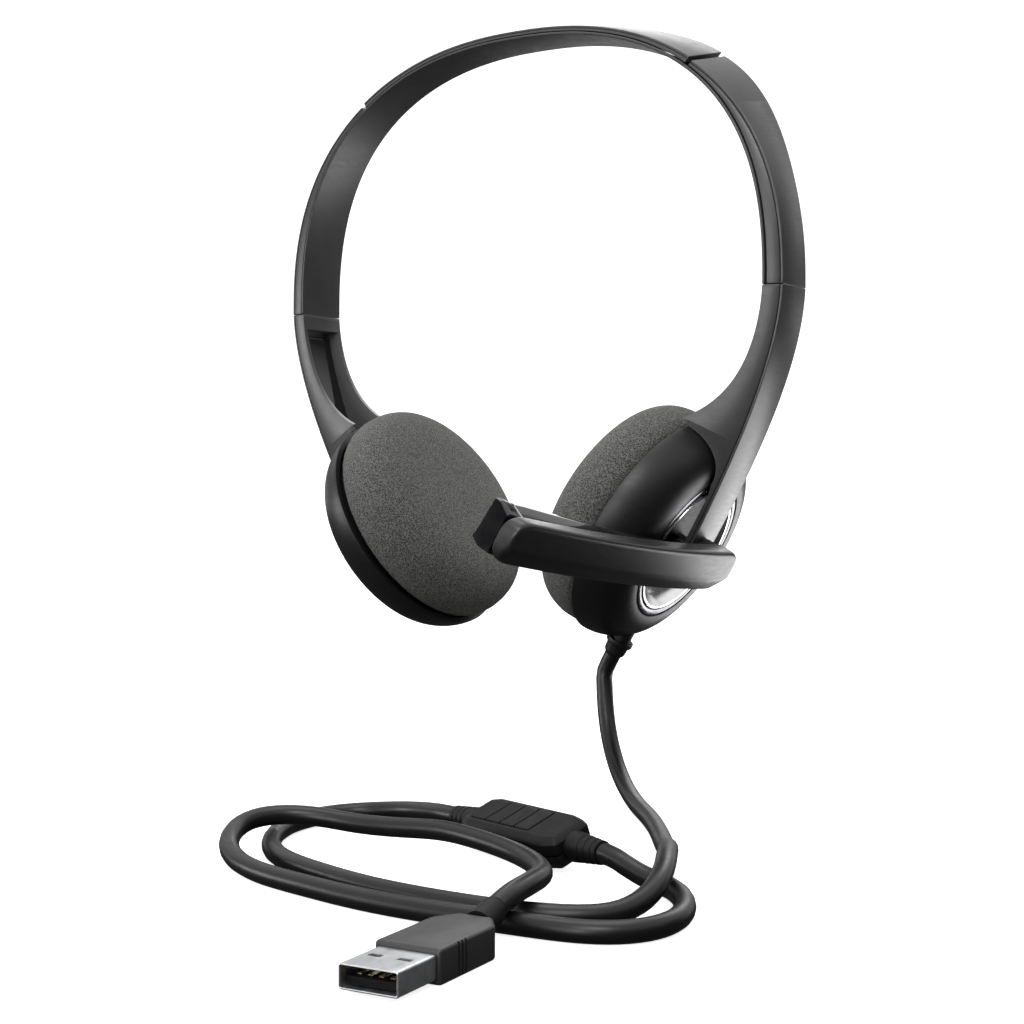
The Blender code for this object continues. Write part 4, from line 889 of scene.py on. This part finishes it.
# The pad's outer curve from rim to the middle of its face, as (radius, height).
def padProfile():
    r, face = pad["radius"], -pad["depth"]
    corners = np.array([
        (r - 1.9 * mm, -0.3 * mm), (r - 0.6 * mm, -2.0 * mm), (r, -5.8 * mm), (r - 0.9 * mm, face * 0.58),
        (r - 3.4 * mm, face * 0.78), (r - 7.6 * mm, face * 0.91), (r - 13 * mm, face * 0.98),
        (r - 19 * mm, face), (r - 27 * mm, face), (0.4 * mm, face)])
    t = np.linspace(0, 1, 8, endpoint=False)[:, None]
    p = np.vstack([2 * corners[0] - corners[1], corners, 2 * corners[-1] - corners[-2]])
    return np.vstack([throughPoints(p, t).reshape(-1, 2), corners[-1:]])


def evaluated(obj):
    bpy.context.view_layer.update()
    graph = bpy.context.evaluated_depsgraph_get()
    return bpy.data.meshes.new_from_object(obj.evaluated_get(graph))


# The pad is blown up a little as cloth, then held within its own outer shape.
def makePad(side):
    here = cups[side]
    outer = padProfile()
    back = [(25 * mm, -0.3 * mm), (25 * mm, -3.3 * mm), (0.4 * mm, -3.3 * mm)]
    profile = np.vstack([np.array(back)[::-1], outer])
    obj = turned("ear_pad_" + side, profile, Matrix.Identity(4), None, 120)
    remesh = obj.modifiers.new("remesh", "REMESH")
    remesh.mode = "VOXEL"
    remesh.voxel_size = pad["voxel"]
    obj.data = evaluated(obj)
    obj.modifiers.clear()
    rest = coordinates(obj.data)
    slim = rest.copy()
    slim[:, :2] *= pad["start"]
    obj.data.vertices.foreach_set("co", slim.astype(np.float32).ravel())
    cloth = obj.modifiers.new("cloth", "CLOTH")
    cloth.settings.use_pressure = True
    cloth.settings.uniform_pressure_force = pad["pressure"]
    cloth.settings.effector_weights.gravity = 0.0
    cloth.settings.quality = pad["quality"]
    pinned = obj.vertex_groups.new(name="seat")
    seat = np.nonzero(rest[:, 2] > -3.6 * mm)[0].tolist()
    pinned.add(seat, 1.0, "REPLACE")
    cloth.settings.vertex_group_mass = "seat"
    scene = bpy.context.scene
    for step in range(1, pad["frames"] + 1):
        scene.frame_set(step)
    blown = coordinates(evaluated(obj))
    obj.modifiers.clear()
    scene.frame_set(1)
    shift = blown - rest
    size = np.linalg.norm(shift, axis=1)[:, None] + 1e-12
    held = rest + shift * np.minimum(1, pad["cap"] / size)
    # a pad point keeps within the pad's own radius and depth
    r = np.hypot(held[:, 0], held[:, 1]) + 1e-12
    limit = np.minimum(1, (pad["radius"] + 0.2 * mm) / r)
    held[:, :2] *= limit[:, None]
    held[:, 2] = np.clip(held[:, 2], -pad["depth"] - 0.3 * mm, -0.3 * mm)
    obj.data.vertices.foreach_set("co", held.astype(np.float32).ravel())
    smooth = obj.modifiers.new("relax", "SMOOTH")
    smooth.factor = 0.5
    smooth.iterations = pad["smoothing"]
    obj.data = evaluated(obj)
    obj.modifiers.clear()
    obj.vertex_groups.clear()
    obj.data.transform(here)
    obj.data.shade_smooth()
    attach(obj, "cup_" + side)
    dress(obj, "foam", "ear_cushion_" + side)


for side in ("right", "left"):
    makePad(side)
print("pads made")

# Boom
boom = {"face": 24.0 * mm, "thick": 5.4 * mm, "height": 13.0 * mm, "reach": 90.0 * mm, "bend": 13.0 * mm,
        "rise": 0.05, "slim": 0.08, "thinning": 1.0 * mm, "roundness": 3.2, "coreStart": 22 * mm,
        "overhang": 1.2 * mm, "coreThin": 0.7 * mm, "coreGrowth": 4.6 * mm, "coreInset": 1.2 * mm,
        "coreRise": 1.5 * mm, "tipLength": 6.5 * mm, "tipEase": 0.9 * mm, "micFromReach": 4 * mm,
        "hub": 5.6 * mm, "axle": 1.6 * mm, "running": 0.15 * mm, "gap": 0.3 * mm}


# The boom's spine rises evenly and its outer face curves in with the square of its reach.
def boomSpine(f):
    share = np.maximum(f, 0) / boom["reach"]
    return -0.5 * mm + boom["rise"] * f, boom["face"] - boom["bend"] * share ** 2


def makeBoom():
    here = cups["right"]
    r = boom["height"] / 2
    ease = 1 - np.cos(np.linspace(0, math.pi / 2, 20))
    f = np.concatenate([-r + ease * r, np.linspace(0, boom["reach"] - r, 70)[1:-1],
                        boom["reach"] - r * ease[::-1]])
    up, face = boomSpine(f)
    near = np.minimum(np.minimum(f + r, boom["reach"] - f), r)
    power = boom["roundness"]
    share = np.maximum(1 - (1 - near / r) ** power, 0.003) ** (1 / power)
    slim = 1 - boom["slim"] * np.maximum(f, 0) / boom["reach"]
    rings = []
    for i in range(len(f)):
        h = r * share[i] * slim[i]
        k = min(share[i] + 0.12, 1) * mm
        back = face[i] - boom["thick"] + boom["thinning"] * max(f[i], 0) / boom["reach"]
        crown = face[i] - (1 - share[i]) ** 2 * 1.2 * mm
        corners = [(-h, back), (-h, crown - 2.7 * k), (-h * 0.3, crown), (h, crown), (h, back)]
        ring = rounded(corners, (0.8 * k, 0.9 * k, 1.2 * k, 1.5 * k, 0.8 * k), 7)
        rings.append(np.column_stack([up[i] + ring[:, 0], np.full(len(ring), f[i]), ring[:, 1]]))
    shell = loft("boom_outer_shell", rings, here, "boom", 50)
    top = boom["face"] - boom["thick"]
    cut(shell, [rod("axle_pocket", boom["axle"] + boom["running"], -3 * mm, top + 2.1 * mm, here)])
    dress(shell, "boom", "boom_shell")

    tip = boom["reach"] + boom["overhang"]
    # two fine rings are turned in near the tip
    ringsAt = tip - np.array([4.6, 6.8]) * mm
    close = (ringsAt[:, None] + np.array([-0.3, -0.1, 0.1, 0.3]) * mm).ravel()
    even = np.linspace(boom["coreStart"], tip - boom["tipEase"], 60)
    f = np.sort(np.concatenate([even, close, [tip - 0.4 * mm, tip]]))
    up, face = boomSpine(f)
    outer = face - (boom["thick"] - boom["thinning"] * np.minimum(f / boom["reach"], 1)) - boom["gap"]
    share = np.clip((f - boom["coreStart"]) / (boom["reach"] * 0.65), 0, 1)
    thick = boom["coreThin"] + boom["coreGrowth"] * share
    ended = np.clip((f - tip + boom["tipEase"]) / boom["tipEase"], 0, 1)
    groove = 0.4 * mm * (np.abs(f[:, None] - ringsAt).min(1) < 0.15 * mm)
    half = r - boom["coreInset"] - 0.5 * mm * ended ** 2 - groove
    rise = boom["coreRise"] * share
    rings = []
    for i in range(len(f)):
        h, t, g = half[i], thick[i] - groove[i], rise[i]
        corners = [(-h, outer[i]), (h, outer[i]), (h + g, outer[i] - t * 0.75), (h + g, outer[i] - t),
                   (-h + 1.2 * mm, outer[i] - t), (-h, outer[i] - t * 0.68)]
        ring = rounded(corners, 0.3 * mm, 5)
        # the tip slopes back above its middle, and a little below it
        slope = 0.8 * np.maximum(ring[:, 0] - 1.5 * mm, 0) + 0.3 * np.maximum(1.5 * mm - ring[:, 0], 0)
        near = max(f[i] - tip + boom["tipLength"], 0) / boom["tipLength"]
        rings.append(np.column_stack([up[i] + ring[:, 0], f[i] - slope * near, ring[:, 1]]))
    core = loft("boom_inner_core", rings, here, "boom", 30)
    micAt = boom["reach"] - boom["micFromReach"]
    micUp, micFace = boomSpine(micAt)
    pocket = here @ Matrix.Translation((micUp, micAt, micFace - boom["thick"] - 4.3 * mm))
    cut(core, [rod("mic_pocket", 2.3 * mm, -3 * mm, 3 * mm, pocket)])
    dress(core, "gloss", "boom_core")

    hubLow, hubHigh = arm["face"] + boom["gap"], boom["face"] - boom["thick"] - boom["gap"]
    bore = boom["axle"] + boom["running"]
    e = 0.3 * mm
    profile = [(boom["hub"] - e, hubHigh), (boom["hub"], hubHigh - e), (boom["hub"], hubLow + e),
               (boom["hub"] - e, hubLow), (bore, hubLow), (bore, hubHigh)]
    hub = turned("boom_hub_ring", profile, here, "arm_right", 96, True)
    dress(hub, "trim", "boom_hub")
    cap = turned("left_hub_cap", [
        (boom["hub"] - 1.6 * mm, arm["face"] + 1.7 * mm), (boom["hub"] - 0.7 * mm, arm["face"] + 1.55 * mm),
        (boom["hub"] - 0.1 * mm, arm["face"] + 0.9 * mm), (boom["hub"], arm["face"] + 0.3 * mm)],
        cups["left"], "arm_left", 96)
    dress(cap, "trim", "hub_cap")


makeBoom()
print("boom made")

# Remote
buttons = {"count": 4, "pitch": 5.2 * mm, "size": (4.8 * mm, 8.2 * mm), "proud": 0.25 * mm, "x": -3.2 * mm}


def makeRemote():
    here = remoteMatrix()
    halfX, halfY, halfZ = (remoteBody[k] / 2 for k in ("length", "width", "height"))
    nose, tail, cheek = halfX - 3.4 * mm, halfX - 2.6 * mm, halfY * 0.78
    outline = rounded([(-halfX, -cheek), (-tail, -halfY), (nose, -halfY), (halfX, -cheek), (halfX, cheek),
                       (nose, halfY), (-tail, halfY), (-halfX, cheek)], 0.6 * mm, 5)
    top = stack("remote_upper_shell", outline, [
        (0.05 * mm, 0.15 * mm), (0, 0.35 * mm), (0, halfZ - 1.6 * mm), (0.15 * mm, halfZ - 1.35 * mm),
        (1.15 * mm, halfZ - 0.15 * mm), (1.4 * mm, halfZ)], here, "cup_right")
    wall = 1.2 * mm
    hollow = stack("hollow", outline, [(wall, -1 * mm), (wall, halfZ - wall)], here)
    wide = 3 * buttons["pitch"] + buttons["size"][0]
    window = stack("window", roundRect(wide / 2 + 0.25 * mm, buttons["size"][1] / 2 + 0.25 * mm, 0.6 * mm),
                   [(0, halfZ - 3 * mm), (0, halfZ + 1 * mm)], here @ Matrix.Translation((buttons["x"], 0, 0)))
    cut(top, [hollow, window])
    bottom = stack("remote_lower_shell", outline, [
        (2.4 * mm, -halfZ), (2.0 * mm, -halfZ + 0.15 * mm), (0.2 * mm, -halfZ + 2.4 * mm),
        (0, -halfZ + 2.7 * mm), (0, -0.35 * mm), (0.05 * mm, -0.15 * mm)], here, "cup_right")
    levels = [(wall * 1.6, -halfZ + wall), (wall, -halfZ + 2.7 * mm), (wall, 1 * mm)]
    cut(bottom, [stack("hollow", outline, levels, here)])
    for obj, node in ((top, "remote_top"), (bottom, "remote_bottom")):
        dress(obj, "remote", node)
    foot = 0.3 * mm
    pieces = [top, bottom]
    for i in range(buttons["count"]):
        x = buttons["x"] + (i - 1.5) * buttons["pitch"]
        shape = roundRect(buttons["size"][0] / 2, buttons["size"][1] / 2, 0.5 * mm, 5)
        high = halfZ + buttons["proud"]
        levels = softLevels(foot, high, 0.2 * mm) + [(1.0 * mm, high - 0.08 * mm)]
        key = stack(f"remote_key_{i + 1}", shape, levels, here @ Matrix.Translation((x, 0, 0)),
                    f"button_{i + 1}")
        dress(key, "remote", f"remote_button_{i + 1}")
        pieces.append(key)
    for name, sign in (("left", -1), ("right", 1)):
        place = (here @ Matrix.Translation((sign * (halfX + 0.3 * mm), 0, 0))
                 @ Matrix.Rotation(sign * math.pi / 2, 4, "Y"))
        obj = makeRelief("remote_strain_relief_" + name, place, remoteBody["relief"], 3.5 * mm,
                         cordFit["radius"] + 0.35 * mm, 3, 0.3)
        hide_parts("remote_relief_" + name)
        pieces.append(obj)
    return pieces


# A tapering sleeve with soft ribs: the ribs are dips in the radius, narrowed to grooves.
def makeRelief(name, place, length, base, tip, ribs, plain):
    z = np.linspace(length, 0, 90)
    radius = tip + (base - tip) * (1 - z / length)
    phase = np.clip((z / length - plain) / (0.94 - plain), 0, 1) * ribs * 2 * math.pi
    radius = radius - 0.55 * mm * (0.5 - 0.5 * np.cos(phase)) ** 3
    radius[0] -= 0.25 * mm
    obj = turned(name, np.column_stack([radius, z]), place, "cup_right", 48, sharp=60)
    return paint(obj, "remote")


remotePieces = makeRemote()
print("remote made")


# Plug
def makePlug():
    p = plugBody
    here = plugMatrix()
    length, width, height = p["shell"]
    # the shell's rings run down its outside and back up its inside, closed at the root by a wall
    outer = roundRect(width / 2, height / 2, 0.55 * mm)
    inner = roundRect(width / 2 - p["wall"], height / 2 - p["wall"], 0.25 * mm)
    rings = []
    for ring, x in ((outer, length - 0.02 * mm), (outer, 0.12 * mm), (outer * 0.4 + inner * 0.6, 0),
                    (inner, 0.1 * mm), (inner, length - p["wall"])):
        rings.append(np.column_stack([np.full(len(ring), x), ring]))
    shell = loft("plug_metal_shell", rings, here, "cup_right")
    for y in (-3 * mm, 3 * mm):
        hole = stack("window", roundRect(0.75 * mm, 1.35 * mm, 0.12 * mm), [(0, -5 * mm), (0, 5 * mm)],
                     here @ Matrix.Translation((0.58 * length, y, 0)))
        cut(shell, [hole])
    dress(shell, "steel", "plug_shell")

    tongueHigh, tongueLow = -0.1 * mm, -height / 2 + p["wall"] + 0.3 * mm
    reach = length - p["wall"] - 0.6 * mm
    halfX = (reach - 1.5 * mm) / 2
    tongue = stack("plug_inner_tongue", roundRect(halfX, width / 2 - p["wall"] - 0.3 * mm, 0.2 * mm),
                   softLevels(tongueLow, tongueHigh, 0.15 * mm),
                   here @ Matrix.Translation((1.5 * mm + halfX, 0, 0)), "cup_right")
    dress(tongue, "tongue", "plug_tongue")
    for i in range(4):
        spot = here @ Matrix.Translation((6 * mm, (i - 1.5) * 2.25 * mm, tongueHigh + 0.1 * mm))
        pin = stack(f"plug_pin_{i + 1}", roundRect(3.5 * mm, 0.5 * mm, 0.15 * mm),
                    softLevels(0, 0.25 * mm, 0.06 * mm), spot, "cup_right")
        dress(pin, "gold", f"plug_contact_{i + 1}")

    bodyLength, bodyWidth, bodyHeight = p["body"]
    start, end = length + 0.3 * mm, length + bodyLength
    half, clip = bodyWidth / 2, 3.2 * mm
    outline = rounded([(start, -half), (end - 1.5 * clip, -half), (end, -half + clip), (end, half - clip),
                       (end - 1.5 * clip, half), (start, half)], 0.7 * mm, 6)
    body = stack("plug_overmould", outline, softLevels(-bodyHeight / 2, bodyHeight / 2, 0.6 * mm, 5), here,
                 "cup_right")
    grooves = []
    for i in range(3):
        x = length + (6.5 + 1.2 * i) * mm
        ring = roundRect(half + 1 * mm, bodyHeight / 2 + 2 * mm, 0.3 * mm)
        gap = roundRect(half - 0.35 * mm, bodyHeight / 2 + 1 * mm, 0.1 * mm)
        rows = [np.column_stack([np.full(len(r), x + s * 0.3 * mm), r]) for r, s in
                ((ring, -1), (ring, 1), (gap, 1), (gap, -1))]
        rows = np.array(rows)
        faces = (np.array(gridFaces(5, len(ring), capped=False)) % (4 * len(ring))).tolist()
        grooves.append(addMesh("groove", moved(rows, here), faces))
    cut(body, grooves)
    dress(body, "overmould", "plug_body")
    relief = makeRelief("plug_strain_relief", plugReliefMatrix(), p["relief"], p["base"],
                        cordFit["radius"] + 0.3 * mm, 0, 0.3)
    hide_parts("plug_relief")
    return [shell, tongue, body, relief]


plugPieces = makePlug()
print("plug made")

# Carried-over nodes
for name, finish in (("hinge_pin_", "pin"), ("slider_strap_", "pin"), ("speaker_baffle_", "trim"),
                     ("diaphragm_", "cone"), ("driver_basket_", "pin"), ("driver_magnet_", "pin")):
    for side in ("right", "left"):
        paint(nodes[name + side], finish)
for side in ("right", "left"):
    for k in (1, 2):
        paint(nodes[f"strap_screw_{side}_{k}"], "pin")
for name, finish in (("boom_axle", "pin"), ("mic_capsule", "pin"), ("remote_board", "board")):
    paint(nodes[name], finish)


# Floor and light
studio = {"floorColour": (0.82, 0.82, 0.82), "floorGlow": 0.8}


# The camera sees an evenly bright floor and wall. Other rays see a dark floor, a bright low band on the wall,
# a dark band above it and a bright top, so that the object's underside stays dark and its edges are lit.
def stageSurface():
    made, tree, shader = newMaterial("studio_floor", studio["floorColour"], 0.9)
    shader.inputs["Specular IOR Level"].default_value = 0.0
    shader.inputs["Emission Color"].default_value = (1, 1, 1, 1)
    shader.inputs["Emission Strength"].default_value = studio["floorGlow"]
    split = tree.nodes.new("ShaderNodeSeparateXYZ")
    tree.links.new(objectSpace(tree), split.inputs["Vector"])
    height = span(tree, split.outputs["Z"], 0, 1, -0.1, 0.9)
    glow = addNode(tree, "ShaderNodeEmission")
    greys = [(0.02, 0.05), (0.05, 1.0), (0.22, 0.9), (0.3, 0.08), (0.5, 0.1), (0.65, 0.9)]
    ramp(tree, height, [(spot, (grey,) * 3) for spot, grey in greys], glow.inputs["Color"])
    seen = tree.nodes.new("ShaderNodeLightPath")
    mix = tree.nodes.new("ShaderNodeMixShader")
    tree.links.new(seen.outputs["Is Camera Ray"], mix.inputs["Fac"])
    tree.links.new(glow.outputs["Emission"], mix.inputs[1])
    tree.links.new(shader.outputs["BSDF"], mix.inputs[2])
    tree.links.new(mix.outputs["Shader"], tree.nodes["Material Output"].inputs["Surface"])
    return made


# A floor that turns up into a back wall behind the object, seen from the camera.
def addStage():
    a = math.radians(camera["azimuth"])
    back = np.array([-math.sin(a), math.cos(a)])
    side = np.array([math.cos(a), math.sin(a)])
    s = np.linspace(0, 1, 40)
    bend = np.clip((s - 0.6) / 0.25, 0, 1) * math.pi / 2
    step = np.diff(s, prepend=0) * 4.5
    run = np.cumsum(step * np.cos(bend)) - 1.6
    rise = np.cumsum(step * np.sin(bend))
    wide = np.array([-2.5, 2.5])
    points = np.array([[(*(back * r + side * w), floorZ + h) for w in wide] for r, h in zip(run, rise)])
    obj = addMesh("studio_sweep", points, gridFaces(len(s), 2, False, False))
    obj.data.materials.append(stageSurface())


def addLight(name, place, target, size, power):
    data = bpy.data.lights.new(name, "AREA")
    data.energy = power
    data.size = size
    obj = bpy.data.objects.new(name, data)
    obj.location = place
    obj.rotation_euler = (Vector(place) - Vector(target)).to_track_quat("Z", "Y").to_euler()
    obj.visible_camera = False
    bpy.context.scene.collection.objects.link(obj)


def addWorld():
    world = bpy.data.worlds.new("studio")
    world.use_nodes = True
    tree = world.node_tree
    background = tree.nodes["Background"]
    seen = tree.nodes.new("ShaderNodeLightPath")
    where = tree.nodes.new("ShaderNodeTexCoord")
    split = tree.nodes.new("ShaderNodeSeparateXYZ")
    tree.links.new(where.outputs["Generated"], split.inputs["Vector"])
    # dark at the horizon, bright overhead
    greys = [(0.0, 0.05), (0.3, 0.08), (0.48, 0.8), (1.0, 1.1)]
    mix = addNode(tree, "ShaderNodeMix", data_type="RGBA")
    tree.links.new(seen.outputs["Is Camera Ray"], mix.inputs["Factor"])
    ramp(tree, split.outputs["Z"], [(spot, (grey,) * 3) for spot, grey in greys], mix.inputs[6])
    mix.inputs[7].default_value = (1, 1, 1, 1)
    tree.links.new(mix.outputs[2], background.inputs["Color"])
    background.inputs["Strength"].default_value = 1.0
    bpy.context.scene.world = world
    bpy.context.scene.view_settings.view_transform = "Standard"


addStage()
addWorld()
softboxes = [
    # name, place, aimed at, size, power
    ("key", (0.30, -0.80, 0.62), (0.0, 0.0, 0.0), 0.4, 3.5),
    ("front", (0.02, -1.25, 0.06), (0.0, 0.0, 0.03), 0.6, 6.5),
    ("left", (-1.15, -0.52, -0.0), (0.0, 0.0, 0.02), 0.5, 4.5),
    ("front_left", (-0.80, -1.0, 0.16), (0.0, 0.0, 0.02), 0.5, 2.0),
    ("top", (-0.05, 0.05, 0.80), (0.0, 0.0, 0.1), 0.6, 2.5),
    ("back_top", (-0.30, 0.97, 0.60), (0.0, 0.0, 0.05), 0.7, 3.0),
    ("low_card", (0.16, 0.22, -0.076), (0.16, 0.22, 1.0), 0.26, 0.9)]
for name, place, target, size, power in softboxes:
    addLight(name, place, target, size, power)

bpy.context.view_layer.update()
